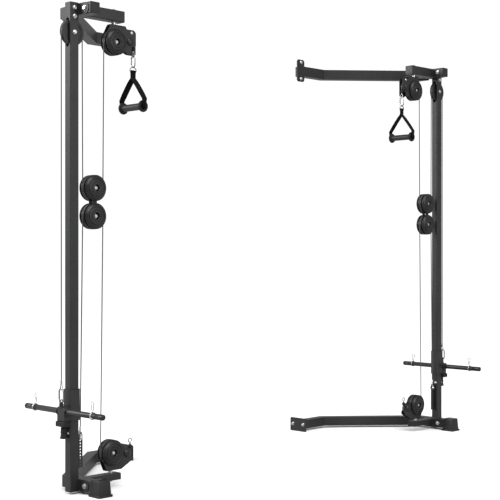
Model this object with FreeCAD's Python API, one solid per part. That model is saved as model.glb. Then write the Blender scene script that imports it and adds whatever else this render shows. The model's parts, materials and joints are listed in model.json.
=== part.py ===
"""Two-column cable crossover: posts, arms to a rack, pulleys, cables, weight carriages and handles."""
import FreeCAD, Part
import math
import os

V = FreeCAD.Vector

# ---- Driving dimensions, mm -------------------------------------------------------------------
COLUMN_SPACING = 2655.0        # post axis to post axis
POST_TOP = 2100.0
POST_BOTTOM = 10.0
POST_WIDTH = 45.0              # across the row
POST_DEPTH = 40.0
TUBE_WALL = 2.5
TUBE_CORNER = 4.0
POST_BOLTS = (2040.0, 2077.0)
CAP_THICK = 3.0
BAR_HALF_LENGTH = 272.0
ARM_END_Y = 537.0              # back edge of the lower rack plate, from the post axis
POST_Y = (BAR_HALF_LENGTH - ARM_END_Y) / 2.0

# Welded arm tubes, measured inward from the post axis
SIDE_TUBE = 50.0
SIDE_TUBE_X = 25.8             # outer face of the front-to-back tube
SIDE_TUBE_TOP = 2098.0
BASE_TUBE_BOTTOM = 12.0
STUB_FRONT = -96.0             # front of the cap on the upper front-to-back tube
BASE_FRONT = -160.0
TUBE_BACK = 118.0
BASE_TUBE_BACK = 98.0
BRACKET_NOSE_Y = -60.0           # bolt between the post bracket and the front-to-back tube
BRACKET_BACK_Y = 30.0
ARM_HEIGHT = 56.0
ARM_BEND_X = 479.0
ARM_BEND_Y = 477.0
ARM_END_X = 684.0
RACK_PLATE_X = 698.0
RACK_PLATE_WIDTH = 60.0
RACK_PLATE_HEIGHT = 126.0
PLATE_THICK = 5.0
PLATE_CORNER = 9.0
RACK_BOLT_PITCH = 94.0
RACK_HOLE = 11.0
FOOT_PLATE_HEIGHT = 76.0
FOOT_PLATE_LENGTH = 120.0
FOOT_BOLT_PITCH = 78.0
FOOT_BOLT_Z = 40.0
SHOE_TOP = 70.0
SHOE_LENGTH = 62.0
SHOE_ROOM = 5.0
SHOE_FLARE = 3.5
SOLE_RIM = 8.0
SOLE_THICK = 9.0

# Pulley arms and swivel pins
PULLEY_ARM_X = 271.0           # inner end of the upper pulley arm
PULLEY_ARM_BOTTOM = 2048.0
BASE_ARM_X = 250.0
BASE_ARM_BOTTOM = 30.0
BASE_ARM_TOP = 60.0
PIN_D = 12.0
PIN_HEX = 19.0
SWIVEL_D = 10.0
SWIVEL_HEX = 17.0
NUT_GAP = 0.3                    # between a swivel nut and the yoke under it
PIN_FIT = 0.05                 # radial running clearance of pins and axles
HIGH_X = 228.0
LOW_X = 210.0

# Pulleys
CABLE_D = 5.0
CABLE_R = 55.0                 # wheel axis to cable centre
WHEEL_R = 57.5
WHEEL_THICK = 17.0
GROOVE_GAP = 0.4
AXLE_D = 10.0
AXLE_HEX = 17.0
AXLE_REACH = 21.0                # wheel plane to the underside of an axle's head
ROLLER_AXLE_D = 8.0
TOP_WHEEL_Z = 1972.0
SLOT_WIDTH = 22.0
SLOT_HEIGHT = 124.0
BLOCK_X = 113.0
BLOCK_HALF = 12.0
BLOCK_END = 16.0                 # block strap past its wheel axis
BLOCK_WEB = 3.0
BLOCK_UPPER_Z = 1311.0
BLOCK_LOWER_Z = 1189.0
HIGH_Z = 1957.5
LOW_Z = 151.0
COVER_R = 57.0
COVER_HALF = 18.0              # rim plane of a cover from the wheel plane
COVER_FACE = 31.0              # front plane of a cover from the wheel plane
COVER_FLAT_R = 41.0
COVER_HOLE_R = 14.0
SIDE_PLATE_GAP = 10.5          # wheel plane to the inside of a side plate
SIDE_PLATE = 3.0
ROLLER_X = 84.0                # guide roller from the wheel axis, inward and toward the swivel pin
ROLLER_Z = 12.0
ROLLER_CABLE_R = 27.0
ROLLER_R = 26.8
ROLLER_THICK = 15.0
DOME_R = 19.0
DOME_SPHERE_R = 26.0
HEAD_TOP = 78.0                # head's pin end from its wheel axis
YOKE = 5.0

# Side plates of the heads: x inward from the wheel axis, and distance from it toward the swivel pin
HIGH_REAR_PLATE = [(-26, 78), (60, 78), (62, 66), (106, 66), (117, 55), (117, -36), (110, -44), (80, -44),
                   (40, -30), (-12, -30), (-52, 30)]
HIGH_FRONT_PLATE = [(-26, 78), (60, 78), (62, 66), (106, 66), (117, 55), (117, -6), (94, -8), (88, -44),
                    (80, -44), (40, -30), (-12, -30), (-52, 30)]
LOW_PLATE = [(-31, 78), (52, 78), (115, 44), (117, 30), (106, 20), (102, -6), (80, -12), (40, -30),
             (-12, -30), (-52, 30)]
HIGH_SPACER = (92, 52)
LOW_SPACER = (68, 50)
SPACER_D = 8.0

# Weight carriage
SLEEVE_WALL = 4.0
SLEEVE_GAP = 0.5
SLEEVE_BOTTOM = 316.0
SLEEVE_HEIGHT = 132.0
BAR_X = -43.0
BAR_Z = 356.0
BAR_D = 25.0
BAR_CAP_LENGTH = 47.0           # plastic cap on each free end of the plate bar
SEAM_WIDTH = 2.0                # groove where a cap meets the tube
SEAM_DEPTH = 0.4
BOX_OUT = -59.0
BOX_HALF = 25.0
BOX_BOTTOM = 314.0
BOX_TOP = 374.0
DISC_D = 40.0
DISC_THICK = 6.0
PAD_BOTTOM = 292.0
PAD_OUT = -65.0
PAD_HALF = 33.0
EYE_X = -55.0                  # lifting eye on top of the bar holder
EYE_HALF = 11.0
EYE_PLATE = 6.0
EYE_HEIGHT = 34.0
EYE_HOLE_D = 13.0
WEIGHT_HOOK_Z = 392.0          # lower end of the snap hook
HOOK_LENGTH = 66.0
HOOK_WIDTH = 28.0
HOOK_WIRE = 6.0
COLLAR_FRONT_Y = -200.0
COLLAR_REAR_Y = 205.0
COLLAR_WIDTH = 12.0
COLLAR_WIRE = 3.2
COLLAR_ROOM = 0.35
COLLAR_TIP_Z = 58.0              # top of the finger wires above the bar's axis
STOP_BOLT_Y = -8.0
STOP_BOLT_Z = 263.0
STOP_BOLT_D = 8.0
BUMPER_TOP = 291.6
BUMPER_R = 14.0
BUMPER_X = -42.5
STOP_PLATE_BOTTOM = 240.0
STOP_PLATE_TOP = 284.0
SHELF_THICK = 6.0

# Anchor strip for the low cable
STRIP_BOTTOM = 108.0
STRIP_TOP = 250.0
STRIP_REACH = 56.0
STRIP_THICK = 4.0
STRIP_HOLES = 10
STRIP_HOLE_D = 8.0
STRIP_PITCH = 13.0
STRIP_HOLE_X = 45.0
ANCHOR_Z = 236.0
ANCHOR_PIN_D = 7.9
FITTING_TOP = 282.0            # where the low cable leaves its end fitting

# Handle
BALL_R = 9.8
BALL_Z = 1942.0
HANDLE_HOOK_Z = 1857.0
HANDLE_HOOK_LENGTH = 55.0
HANDLE_HOOK_WIDTH = 24.0
RING_BAR_Z = 1842.0            # bar of the steel ring that the strap hangs from
RING_HALF = 18.0
RING_TOP_HALF = 4.0
RING_TOP_Z = 1863.0
RING_SHOULDER = 10.0
RING_WIRE = 5.0
STRAP_LOOP_R = 6.2
STRAP_SPLIT_Z = 1812.0
STRAP_REACH = 80.0
STRAP_WIDTH = 28.0
STRAP_FOLD = 22.0                # width of the webbing where it is folded through the grip
STRAP_THICK = 3.0
STRAP_BASE = 4.0                 # how far the run through the grip is below the grip's axis
GRIP_Z = 1681.0
GRIP_HALF = 74.0
GRIP_D = 32.0
GRIP_BORE = 27.0
GRIP_DISC_D = 53.0
GRIP_DISC_THICK = 11.0
LOW_BALL_R = 9.8
LOW_BALL_Z = 166.0
LOW_RING_R = 9.0

EXIT_X = HIGH_X + ROLLER_X + ROLLER_CABLE_R
LOW_EXIT_X = LOW_X + ROLLER_X + ROLLER_CABLE_R
HIGH_ROLLER_Z = HIGH_Z + ROLLER_Z
LOW_ROLLER_Z = LOW_Z - ROLLER_Z
LEFT = "left"
RIGHT = "right"

os.makedirs("parts", exist_ok=True)


# ---- Shape helpers. A column is drawn with x inward, y back and z up from its post's foot ------
def box(x0, x1, y0, y1, z0, z1):
    return Part.makeBox(x1 - x0, y1 - y0, z1 - z0, V(x0, y0, z0))


def rod(diameter, start, end):
    run = V(*end) - V(*start)
    return Part.makeCylinder(diameter / 2.0, run.Length, V(*start), run)


def rounded(shape, radius, axis):
    """Round the edges that run along one axis."""
    picked = []
    for edge in shape.Edges:
        run = edge.Vertexes[-1].Point - edge.Vertexes[0].Point
        if run.Length > 1e-6 and abs(abs(run.normalize().dot(V(*axis))) - 1.0) < 1e-6:
            picked.append(edge)
    return shape.makeFillet(radius, picked)


def square_tube(x0, x1, y0, y1, z0, z1, axis):
    """A hollow square tube along x, y or z."""
    outer = rounded(box(x0, x1, y0, y1, z0, z1), TUBE_CORNER, axis)
    inset = [0.0 if a else TUBE_WALL for a in axis]
    over = [1.0 if a else 0.0 for a in axis]
    bore = box(x0 + inset[0] - over[0], x1 - inset[0] + over[0],
               y0 + inset[1] - over[1], y1 - inset[1] + over[1],
               z0 + inset[2] - over[2], z1 - inset[2] + over[2])
    return outer.cut(bore)


def prism(points, y0, y1):
    """A polygon in the x-z plane, extruded along y."""
    corners = [V(x, y0, z) for x, z in points]
    return Part.Face(Part.makePolygon(corners + corners[:1])).extrude(V(0, y1 - y0, 0))


def plan_prism(points, z0, z1):
    """A polygon in the x-y plane, extruded upward."""
    corners = [V(x, y, z0) for x, y in points]
    return Part.Face(Part.makePolygon(corners + corners[:1])).extrude(V(0, 0, z1 - z0))


def turned(profile, x, y, z):
    """A solid of revolution about the y axis through a point, from (radius, y) points."""
    corners = [V(r, 0, h) for r, h in profile]
    solid = Part.Face(Part.makePolygon(corners + corners[:1])).revolve(V(0, 0, 0), V(0, 0, 1), 360)
    solid.rotate(V(0, 0, 0), V(1, 0, 0), -90)
    solid.translate(V(x, y, z))
    return solid


def hexagon(across, height, base, axis):
    """A hexagonal head that stands on a point and grows along an axis."""
    radius = across / math.sqrt(3.0)
    corners = [V(radius * math.cos(math.radians(60 * i)), radius * math.sin(math.radians(60 * i)), 0)
               for i in range(6)]
    solid = Part.Face(Part.makePolygon(corners + corners[:1])).extrude(V(0, 0, height))
    solid.Placement = FreeCAD.Placement(V(*base), FreeCAD.Rotation(V(0, 0, 1), V(*axis)))
    return solid


def bolt(start, end, diameter, across, head=6.0, nut=6.0):
    """A hexagon bolt whose grip runs from start to end, with its nut beyond the end."""
    run = (V(*end) - V(*start)).normalize()
    solid = rod(diameter, start, end)
    solid = solid.fuse(hexagon(across, head, tuple(V(*start) - run * head), tuple(run)))
    if nut:
        solid = solid.fuse(hexagon(across, nut, end, tuple(run)))
    return solid.removeSplitter()


def wheel(x, z, cable_r, outer_r, thick, bore):
    """A pulley wheel with a V groove that the cable lies in, and a hub."""
    half = thick / 2.0
    bottom = cable_r - CABLE_D / 2.0 - GROOVE_GAP
    lip = CABLE_D / 2.0 + GROOVE_GAP
    profile = [(bore / 2.0, -half), (outer_r, -half), (outer_r, -lip - 1.2), (bottom, -lip), (bottom, lip),
               (outer_r, lip + 1.2), (outer_r, half), (bore / 2.0, half)]
    return turned(profile, x, 0.0, z)


def cover(x, z, side):
    """One domed round pulley cover: rim, cone, flat zone and the hole that the bolt sits in."""
    profile = [(COVER_HOLE_R, 0), (COVER_R - 4.0, 0), (COVER_R, 1.5), (COVER_R, 3.5), (COVER_FLAT_R, 12.0),
               (COVER_HOLE_R, COVER_FACE - COVER_HALF)]
    solid = turned([(r, COVER_HALF + h) for r, h in profile], 0.0, 0.0, 0.0)
    if side < 0:
        solid = solid.mirror(V(0, 0, 0), V(0, 1, 0))
    solid.translate(V(x, 0, z))
    return solid


def ring(radius, wire, center, axis):
    return Part.makeTorus(radius, wire / 2.0, V(*center), V(*axis))


def snap_hook(x, z, length, width):
    """An oval snap hook in the y-z plane whose lower end is at z."""
    radius = (width - HOOK_WIRE) / 2.0
    low = z + HOOK_WIRE / 2.0 + radius
    high = z + length - HOOK_WIRE / 2.0 - radius
    parts = [rod(HOOK_WIRE, (x, s * radius, low), (x, s * radius, high)) for s in (-1, 1)]
    keep = box(x - 20, x + 20, -30, 30, low - 40, low)
    parts.append(ring(radius, HOOK_WIRE, (x, 0, low), (1, 0, 0)).common(keep))
    keep = box(x - 20, x + 20, -30, 30, high, high + 40)
    parts.append(ring(radius, HOOK_WIRE, (x, 0, high), (1, 0, 0)).common(keep))
    return parts[0].multiFuse(parts[1:]).removeSplitter()


# ---- Cable routes: straight runs and arcs round the wheels -----------------------------------
def leave_point(center, turn, radius, direction):
    """Where a straight run along a direction touches a wheel that the cable goes round.

    turn is 1 where the cable goes clockwise as seen from the front, and -1 the other way."""
    normal = V(-direction.z, 0, direction.x) * turn
    return center + normal * radius


def run_direction(a, turn_a, radius_a, b, turn_b, radius_b):
    """Direction of the straight run that touches two wheels, or a wheel and a point of radius 0."""
    span = b - a
    offset = turn_b * radius_b - turn_a * radius_a
    angle = math.asin(offset / span.Length)
    along = span.normalize()
    across = V(-along.z, 0, along.x)
    return along * math.cos(angle) + across * math.sin(angle)


def cable(stops):
    """A round cable along stops of (x, z, radius, turn), with radius 0 at its two ends."""
    centers = [V(x, 0, z) for x, z, radius, turn in stops]
    directions = []
    for i in range(len(stops) - 1):
        directions.append(run_direction(centers[i], stops[i][3], stops[i][2],
                                        centers[i + 1], stops[i + 1][3], stops[i + 1][2]))
    edges = []
    touch = centers[0]
    for i in range(1, len(stops)):
        radius = stops[i][2]
        arrive = leave_point(centers[i], stops[i][3], radius, directions[i - 1])
        edges.append(Part.LineSegment(touch, arrive).toShape())
        if i == len(stops) - 1:
            break
        leave = leave_point(centers[i], stops[i][3], radius, directions[i])
        middle = (arrive - centers[i]).normalize() + (leave - centers[i]).normalize()
        if middle.Length < 1e-3:
            middle = directions[i - 1]
        middle = centers[i] + middle.normalize() * radius
        edges.append(Part.Arc(arrive, middle, leave).toShape())
        touch = leave
    path = Part.Wire(edges)
    section = Part.Wire(Part.makeCircle(CABLE_D / 2.0, centers[0], directions[0]))
    solid = path.makePipeShell([section], True, False)
    expected = math.pi * CABLE_D ** 2 / 4.0 * path.Length
    print("cable", round(path.Length), "mm long, volume ratio", round(solid.Volume / expected, 4))
    return solid


# ---- Frame ------------------------------------------------------------------------------------
def post():
    half_x, half_y = POST_WIDTH / 2.0, POST_DEPTH / 2.0
    tube = square_tube(-half_x, half_x, -half_y, half_y,
                       POST_BOTTOM + CAP_THICK, POST_TOP - CAP_THICK, (0, 0, 1))
    half_slot = SLOT_WIDTH / 2.0
    slot = box(-half_x - 5, half_x + 5, -half_slot, half_slot,
               TOP_WHEEL_Z - SLOT_HEIGHT / 2.0, TOP_WHEEL_Z + SLOT_HEIGHT / 2.0)
    slot = rounded(slot, half_slot - 0.5, (1, 0, 0))
    holes = [rod(AXLE_D, (0, -40, z), (0, 40, z)) for z in (TOP_WHEEL_Z,) + POST_BOLTS]
    holes.append(rod(STOP_BOLT_D, (-40, STOP_BOLT_Y, STOP_BOLT_Z), (40, STOP_BOLT_Y, STOP_BOLT_Z)))
    return tube.cut(Part.makeCompound([slot] + holes))


def arm_plan(half):
    """Plan outline of the bent arm, offset from its centre line to both sides."""
    slope = math.atan2(ARM_BEND_Y - TUBE_BACK + half, ARM_BEND_X - SIDE_TUBE_X - SIDE_TUBE / 2.0)
    across = V(-math.sin(slope), math.cos(slope), 0)
    along = V(math.cos(slope), math.sin(slope), 0)
    bend = V(ARM_BEND_X, ARM_BEND_Y, 0)
    shift = half * math.tan(slope / 2.0)
    outline = []
    for side in (-1, 1):
        near_bend = bend + V(-side * shift, side * half, 0)
        start = bend + across * (side * half)
        reach = (start.x - SIDE_TUBE_X) / along.x
        foot = start - along * reach
        end = V(ARM_END_X, ARM_BEND_Y + side * half, 0)
        outline.append([foot, near_bend, end])
    points = outline[0] + outline[1][::-1]
    return [(p.x, p.y) for p in points]


def arm_tube(z0, height):
    """Bent arm: from the front-to-back tube out to the bend, then along the row to the rack."""
    outer = plan_prism(arm_plan(SIDE_TUBE / 2.0), z0, z0 + height)
    bore = plan_prism(arm_plan(SIDE_TUBE / 2.0 - TUBE_WALL), z0 + TUBE_WALL, z0 + height - TUBE_WALL)
    inside = box(SIDE_TUBE_X + TUBE_WALL, ARM_END_X - TUBE_WALL, -300, 700, 0, 3000)
    return outer.cut(bore.common(inside))


def rounded_plate(x0, x1, y_front, y_back, z_middle, height):
    """An end plate facing the front, with its corners cut."""
    cut = PLATE_CORNER
    low, high = z_middle - height / 2.0, z_middle + height / 2.0
    points = [(x0 + cut, low), (x1 - cut, low), (x1, low + cut), (x1, high - cut), (x1 - cut, high),
              (x0 + cut, high), (x0, high - cut), (x0, low + cut)]
    return prism(points, y_front, y_back)


def upper_arm():
    z0 = SIDE_TUBE_TOP - ARM_HEIGHT
    middle = SIDE_TUBE_TOP - SIDE_TUBE / 2.0
    side = square_tube(SIDE_TUBE_X, SIDE_TUBE_X + SIDE_TUBE, STUB_FRONT + CAP_THICK, TUBE_BACK,
                       SIDE_TUBE_TOP - SIDE_TUBE, SIDE_TUBE_TOP, (0, 1, 0))
    front = ARM_BEND_Y - SIDE_TUBE / 2.0
    plate = rounded_plate(RACK_PLATE_X - RACK_PLATE_WIDTH / 2.0, RACK_PLATE_X + RACK_PLATE_WIDTH / 2.0,
                          front - PLATE_THICK, front, z0 + ARM_HEIGHT / 2.0, RACK_PLATE_HEIGHT)
    z_middle = z0 + ARM_HEIGHT / 2.0
    holes = [rod(RACK_HOLE, (RACK_PLATE_X, front - 20, z_middle + s * RACK_BOLT_PITCH / 2.0),
                 (RACK_PLATE_X, front + 20, z_middle + s * RACK_BOLT_PITCH / 2.0)) for s in (-1, 1)]
    plate = plate.cut(Part.makeCompound(holes))
    hole = rod(PIN_D, (0, BRACKET_NOSE_Y, middle), (120, BRACKET_NOSE_Y, middle))
    return side.multiFuse([arm_tube(z0, ARM_HEIGHT), plate]).cut(hole)


def lower_arm():
    side = square_tube(SIDE_TUBE_X, SIDE_TUBE_X + SIDE_TUBE, BASE_FRONT, BASE_TUBE_BACK,
                       BASE_TUBE_BOTTOM, BASE_TUBE_BOTTOM + SIDE_TUBE, (0, 1, 0))
    arm = arm_tube(BASE_TUBE_BOTTOM, SIDE_TUBE)
    low = ARM_END_Y - FOOT_PLATE_LENGTH
    plate = box(ARM_END_X, ARM_END_X + PLATE_THICK, low, ARM_END_Y, 0.0, FOOT_PLATE_HEIGHT)
    plate = rounded(plate, 8.0, (1, 0, 0))
    holes = [rod(RACK_HOLE, (ARM_END_X - 20, ARM_BEND_Y + s * FOOT_BOLT_PITCH / 2.0, FOOT_BOLT_Z),
                 (ARM_END_X + 20, ARM_BEND_Y + s * FOOT_BOLT_PITCH / 2.0, FOOT_BOLT_Z)) for s in (-1, 1)]
    plate = plate.cut(Part.makeCompound(holes))
    middle = BASE_TUBE_BOTTOM + SIDE_TUBE / 2.0
    hole = rod(PIN_D, (0, BRACKET_NOSE_Y, middle), (120, BRACKET_NOSE_Y, middle))
    return side.multiFuse([arm, plate]).cut(hole)


def pulley_arms():
    """Upper and base cross tubes that carry the swivel pins."""
    start = SIDE_TUBE_X + SIDE_TUBE
    half = SIDE_TUBE / 2.0
    tube_end = PULLEY_ARM_X - CAP_THICK
    top = square_tube(start, tube_end, -half, half, PULLEY_ARM_BOTTOM, SIDE_TUBE_TOP, (1, 0, 0))
    top = top.cut(rod(SWIVEL_D, (HIGH_X, 0, 2000), (HIGH_X, 0, 2150)))
    base = square_tube(start, BASE_ARM_X - CAP_THICK, -half, half, BASE_ARM_BOTTOM, BASE_ARM_TOP, (1, 0, 0))
    base = base.cut(rod(SWIVEL_D, (LOW_X, 0, 0), (LOW_X, 0, 100)))
    return [top, base]


def bracket(z_middle):
    """Bracket plate between the post and the front-to-back tube, with a round front end."""
    x0 = POST_WIDTH / 2.0
    x1 = SIDE_TUBE_X
    half = SIDE_TUBE / 2.0
    y0 = BRACKET_NOSE_Y
    plate = box(x0, x1, y0, BRACKET_BACK_Y, z_middle - half, z_middle + half)
    nose = rod(SIDE_TUBE, (x0, y0, z_middle), (x1, y0, z_middle))
    hole = rod(PIN_D, (0, y0, z_middle), (80, y0, z_middle))
    return plate.fuse(nose).removeSplitter().cut(hole)


def anchor_strip():
    """Angle with a row of holes; the low cable is pinned at its top hole."""
    x0 = POST_WIDTH / 2.0
    half = STRIP_THICK / 2.0
    blade = box(x0, STRIP_REACH, -half, half, STRIP_BOTTOM, STRIP_TOP)
    leg = box(x0, x0 + STRIP_THICK, -18.0, half, STRIP_BOTTOM, STRIP_TOP)
    heights = [ANCHOR_Z - i * STRIP_PITCH for i in range(STRIP_HOLES)]
    holes = [rod(STRIP_HOLE_D, (STRIP_HOLE_X, -20, z), (STRIP_HOLE_X, 20, z)) for z in heights]
    return blade.fuse(leg).removeSplitter().cut(Part.makeCompound(holes))


def stop_bumper():
    """Bracket on the post's outer face with the rubber bumper that the carriage lands on."""
    x0 = -POST_WIDTH / 2.0
    shelf_top = STOP_PLATE_BOTTOM + SHELF_THICK
    plate = box(x0 - 4.0, x0, -16.0, 16.0, STOP_PLATE_BOTTOM, STOP_PLATE_TOP)
    shelf = box(x0 - 34.0, x0 - 4.0, -14.0, 14.0, STOP_PLATE_BOTTOM, shelf_top)
    rubber = Part.makeCylinder(BUMPER_R, BUMPER_TOP - shelf_top, V(BUMPER_X, 0, shelf_top))
    rubber = rubber.makeFillet(6.0, [e for e in rubber.Edges if abs(e.BoundBox.ZMin - BUMPER_TOP) < 1e-3])
    rubber = rubber.cut(box(x0 - 12.5, x0, -20, 20, shelf_top - 6.0, BUMPER_TOP + 6.0))
    hole = rod(STOP_BOLT_D, (x0 - 60, STOP_BOLT_Y, STOP_BOLT_Z), (x0 + 5, STOP_BOLT_Y, STOP_BOLT_Z))
    body = plate.fuse(shelf).removeSplitter().cut(hole)
    return [body.fuse(rubber).removeSplitter()]


def end_caps():
    """Plastic caps that close the tube ends."""
    half_x, half_y = POST_WIDTH / 2.0, POST_DEPTH / 2.0
    caps = [rounded(box(-half_x, half_x, -half_y, half_y, z, z + CAP_THICK), TUBE_CORNER, (0, 0, 1))
            for z in (POST_BOTTOM, POST_TOP - CAP_THICK)]
    half = SIDE_TUBE / 2.0
    caps.append(rounded(box(SIDE_TUBE_X, SIDE_TUBE_X + SIDE_TUBE, STUB_FRONT, STUB_FRONT + CAP_THICK,
                            SIDE_TUBE_TOP - SIDE_TUBE, SIDE_TUBE_TOP), TUBE_CORNER, (0, 1, 0)))
    caps.append(rounded(box(PULLEY_ARM_X - CAP_THICK, PULLEY_ARM_X, -half, half,
                            PULLEY_ARM_BOTTOM, SIDE_TUBE_TOP), TUBE_CORNER, (1, 0, 0)))
    caps.append(rounded(box(BASE_ARM_X - CAP_THICK, BASE_ARM_X, -half, half, BASE_ARM_BOTTOM, BASE_ARM_TOP),
                        TUBE_CORNER, (1, 0, 0)))
    return caps


def rubber_foot():
    """Flared shoe over the front end of the base tube, with a wider sole."""
    x0, x1 = SIDE_TUBE_X - SHOE_ROOM, SIDE_TUBE_X + SIDE_TUBE + SHOE_ROOM
    y0, y1 = BASE_FRONT - 4.0, BASE_FRONT - 4.0 + SHOE_LENGTH
    outlines = []
    for grow, z in ((SHOE_FLARE, SOLE_THICK), (0.0, SHOE_TOP)):
        corners = [V(x0 - grow, y0 - grow, z), V(x1 + grow, y0 - grow, z), V(x1 + grow, y1 + grow, z),
                   V(x0 - grow, y1 + grow, z)]
        outlines.append(Part.makePolygon(corners + corners[:1]))
    shoe = Part.makeLoft(outlines, True)
    rim = SOLE_RIM
    sole = rounded(box(x0 - rim, x1 + rim, y0 - rim, y1 + rim, 0.0, SOLE_THICK), 7.0, (0, 0, 1))
    socket = box(SIDE_TUBE_X, SIDE_TUBE_X + SIDE_TUBE, BASE_FRONT, y1 + 20,
                 BASE_TUBE_BOTTOM, BASE_TUBE_BOTTOM + SIDE_TUBE)
    return shoe.fuse(sole).removeSplitter().cut(socket)


def anchor_fitting():
    """Fork that is pinned to the anchor strip and swaged on the end of the low cable."""
    x0, x1 = STRIP_HOLE_X - 6.0, STRIP_HOLE_X + 6.0
    fork = box(x0, x1, -5.0, 5.0, ANCHOR_Z - 8.0, STRIP_TOP + 8.0)
    fork = fork.cut(box(x0 - 1, x1 + 1, -2.2, 2.2, ANCHOR_Z - 10.0, STRIP_TOP + 1.0))
    fork = fork.cut(rod(ANCHOR_PIN_D, (STRIP_HOLE_X, -10, ANCHOR_Z), (STRIP_HOLE_X, 10, ANCHOR_Z)))
    sleeve = rod(8.0, (STRIP_HOLE_X, 0, STRIP_TOP + 7.0), (STRIP_HOLE_X, 0, FITTING_TOP))
    return fork.fuse(sleeve).removeSplitter()


def frame_bolts():
    front = -POST_DEPTH / 2.0
    back = POST_DEPTH / 2.0
    bolts = [bolt((0, front, z), (0, back, z), AXLE_D, 16.0) for z in POST_BOLTS + (TOP_WHEEL_Z,)]
    far = SIDE_TUBE_X + SIDE_TUBE
    y0 = BRACKET_NOSE_Y
    for z in (SIDE_TUBE_TOP - SIDE_TUBE / 2.0, BASE_TUBE_BOTTOM + SIDE_TUBE / 2.0):
        bolts.append(bolt((POST_WIDTH / 2.0, y0, z), (far, y0, z), PIN_D, PIN_HEX, 7.0, 8.0))
    bolts.append(bolt((-POST_WIDTH / 2.0 - 4.0, STOP_BOLT_Y, STOP_BOLT_Z),
                      (POST_WIDTH / 2.0, STOP_BOLT_Y, STOP_BOLT_Z), STOP_BOLT_D, 13.0, 5.0, 5.0))
    bolts.append(bolt((STRIP_HOLE_X, -5.0, ANCHOR_Z), (STRIP_HOLE_X, 5.0, ANCHOR_Z),
                      ANCHOR_PIN_D, 13.0, 5.0, 5.0))
    bolts.append(anchor_fitting())
    high_nut = HIGH_Z + HEAD_TOP - YOKE - NUT_GAP
    low_nut = LOW_Z - HEAD_TOP + YOKE + NUT_GAP
    bolts.append(bolt((HIGH_X, 0, SIDE_TUBE_TOP), (HIGH_X, 0, high_nut), SWIVEL_D, SWIVEL_HEX, 8.0, 7.0))
    bolts.append(bolt((LOW_X, 0, BASE_ARM_BOTTOM), (LOW_X, 0, low_nut), SWIVEL_D, SWIVEL_HEX, 8.0, 7.0))
    return bolts


# ---- Pulley block and heads -------------------------------------------------------------------
def side_plates(front_points, rear_points):
    near, far = SIDE_PLATE_GAP, SIDE_PLATE_GAP + SIDE_PLATE
    return [prism(front_points, -far, -near), prism(rear_points, near, far)]


def axle(x, z):
    """A bolt that carries a wheel between the covers, with both ends in the cover holes."""
    return bolt((x, -AXLE_REACH, z), (x, AXLE_REACH, z), AXLE_D, AXLE_HEX)


def float_frame():
    x0, x1 = BLOCK_X - BLOCK_HALF, BLOCK_X + BLOCK_HALF
    z0, z1 = BLOCK_LOWER_Z - BLOCK_END, BLOCK_UPPER_Z + BLOCK_END
    points = [(x0, z0), (x1, z0), (x1, z1), (x0, z1)]
    parts = side_plates(points, points) + [axle(BLOCK_X, z) for z in (BLOCK_UPPER_Z, BLOCK_LOWER_Z)]
    middle = (BLOCK_UPPER_Z + BLOCK_LOWER_Z) / 2.0
    parts.append(box(BLOCK_X - 8, BLOCK_X + 8, -SIDE_PLATE_GAP, SIDE_PLATE_GAP,
                     middle - BLOCK_WEB / 2.0, middle + BLOCK_WEB / 2.0))
    return parts[0].multiFuse(parts[1:]).removeSplitter()


def covers(x, places):
    solids = []
    for z in places:
        for side in (-1, 1):
            solids.append(cover(x, z, side))
    spacers = []
    for z in places:
        for side in (-1, 1):
            y0 = side * (SIDE_PLATE_GAP + SIDE_PLATE)
            y1 = side * COVER_HALF
            shell = rod(2 * COVER_R - 10.0, (x, y0, z), (x, y1, z))
            spacers.append(shell.cut(rod(2 * COVER_HOLE_R, (x, y0, z), (x, y1, z))))
    return [s.fuse(p).removeSplitter() for s, p in zip(solids, spacers)]


def head(x, z, side, roller_z, front_plate, rear_plate, spacer):
    """Swivel head: two side plates, a yoke plate round the pin, both axles. side 1 hangs, -1 stands."""
    def outline(points):
        return [(x + dx, z + side * dz) for dx, dz in points]
    plates = side_plates(outline(front_plate), outline(rear_plate))
    reach = SIDE_PLATE_GAP + SIDE_PLATE
    ends = sorted((z + side * (HEAD_TOP - YOKE), z + side * HEAD_TOP))
    yoke = box(x + rear_plate[0][0], x + rear_plate[1][0], -SIDE_PLATE_GAP, SIDE_PLATE_GAP, ends[0], ends[1])
    spacer_x, spacer_z = outline([spacer])[0]
    tie = rod(SPACER_D, (spacer_x, -reach, spacer_z), (spacer_x, reach, spacer_z))
    roller_axle = bolt((x + ROLLER_X, -reach, roller_z), (x + ROLLER_X, reach, roller_z),
                       ROLLER_AXLE_D, 13.0, 4.0, 4.0)
    body = plates[0].multiFuse([plates[1], yoke, tie, axle(x, z), roller_axle]).removeSplitter()
    return body.cut(rod(SWIVEL_D + 2.0 * PIN_FIT, (x, 0, ends[0] - 5), (x, 0, ends[1] + 5)))


def head_covers(x, z, roller_z):
    """Round covers over the wheel and small domes over the guide roller's bolt."""
    solids = covers(x, [z])
    for side in (-1, 1):
        y0 = side * (SIDE_PLATE_GAP + SIDE_PLATE)
        dome = Part.makeSphere(DOME_SPHERE_R, V(x + ROLLER_X, y0 - side * 17.0, roller_z))
        keep = rod(2 * DOME_R, (x + ROLLER_X, y0, roller_z), (x + ROLLER_X, y0 + side * 20.0, roller_z))
        room = rod(16.0, (x + ROLLER_X, y0 - side, roller_z), (x + ROLLER_X, y0 + side * 4.2, roller_z))
        solids.append(dome.common(keep).cut(room))
    return solids


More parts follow.
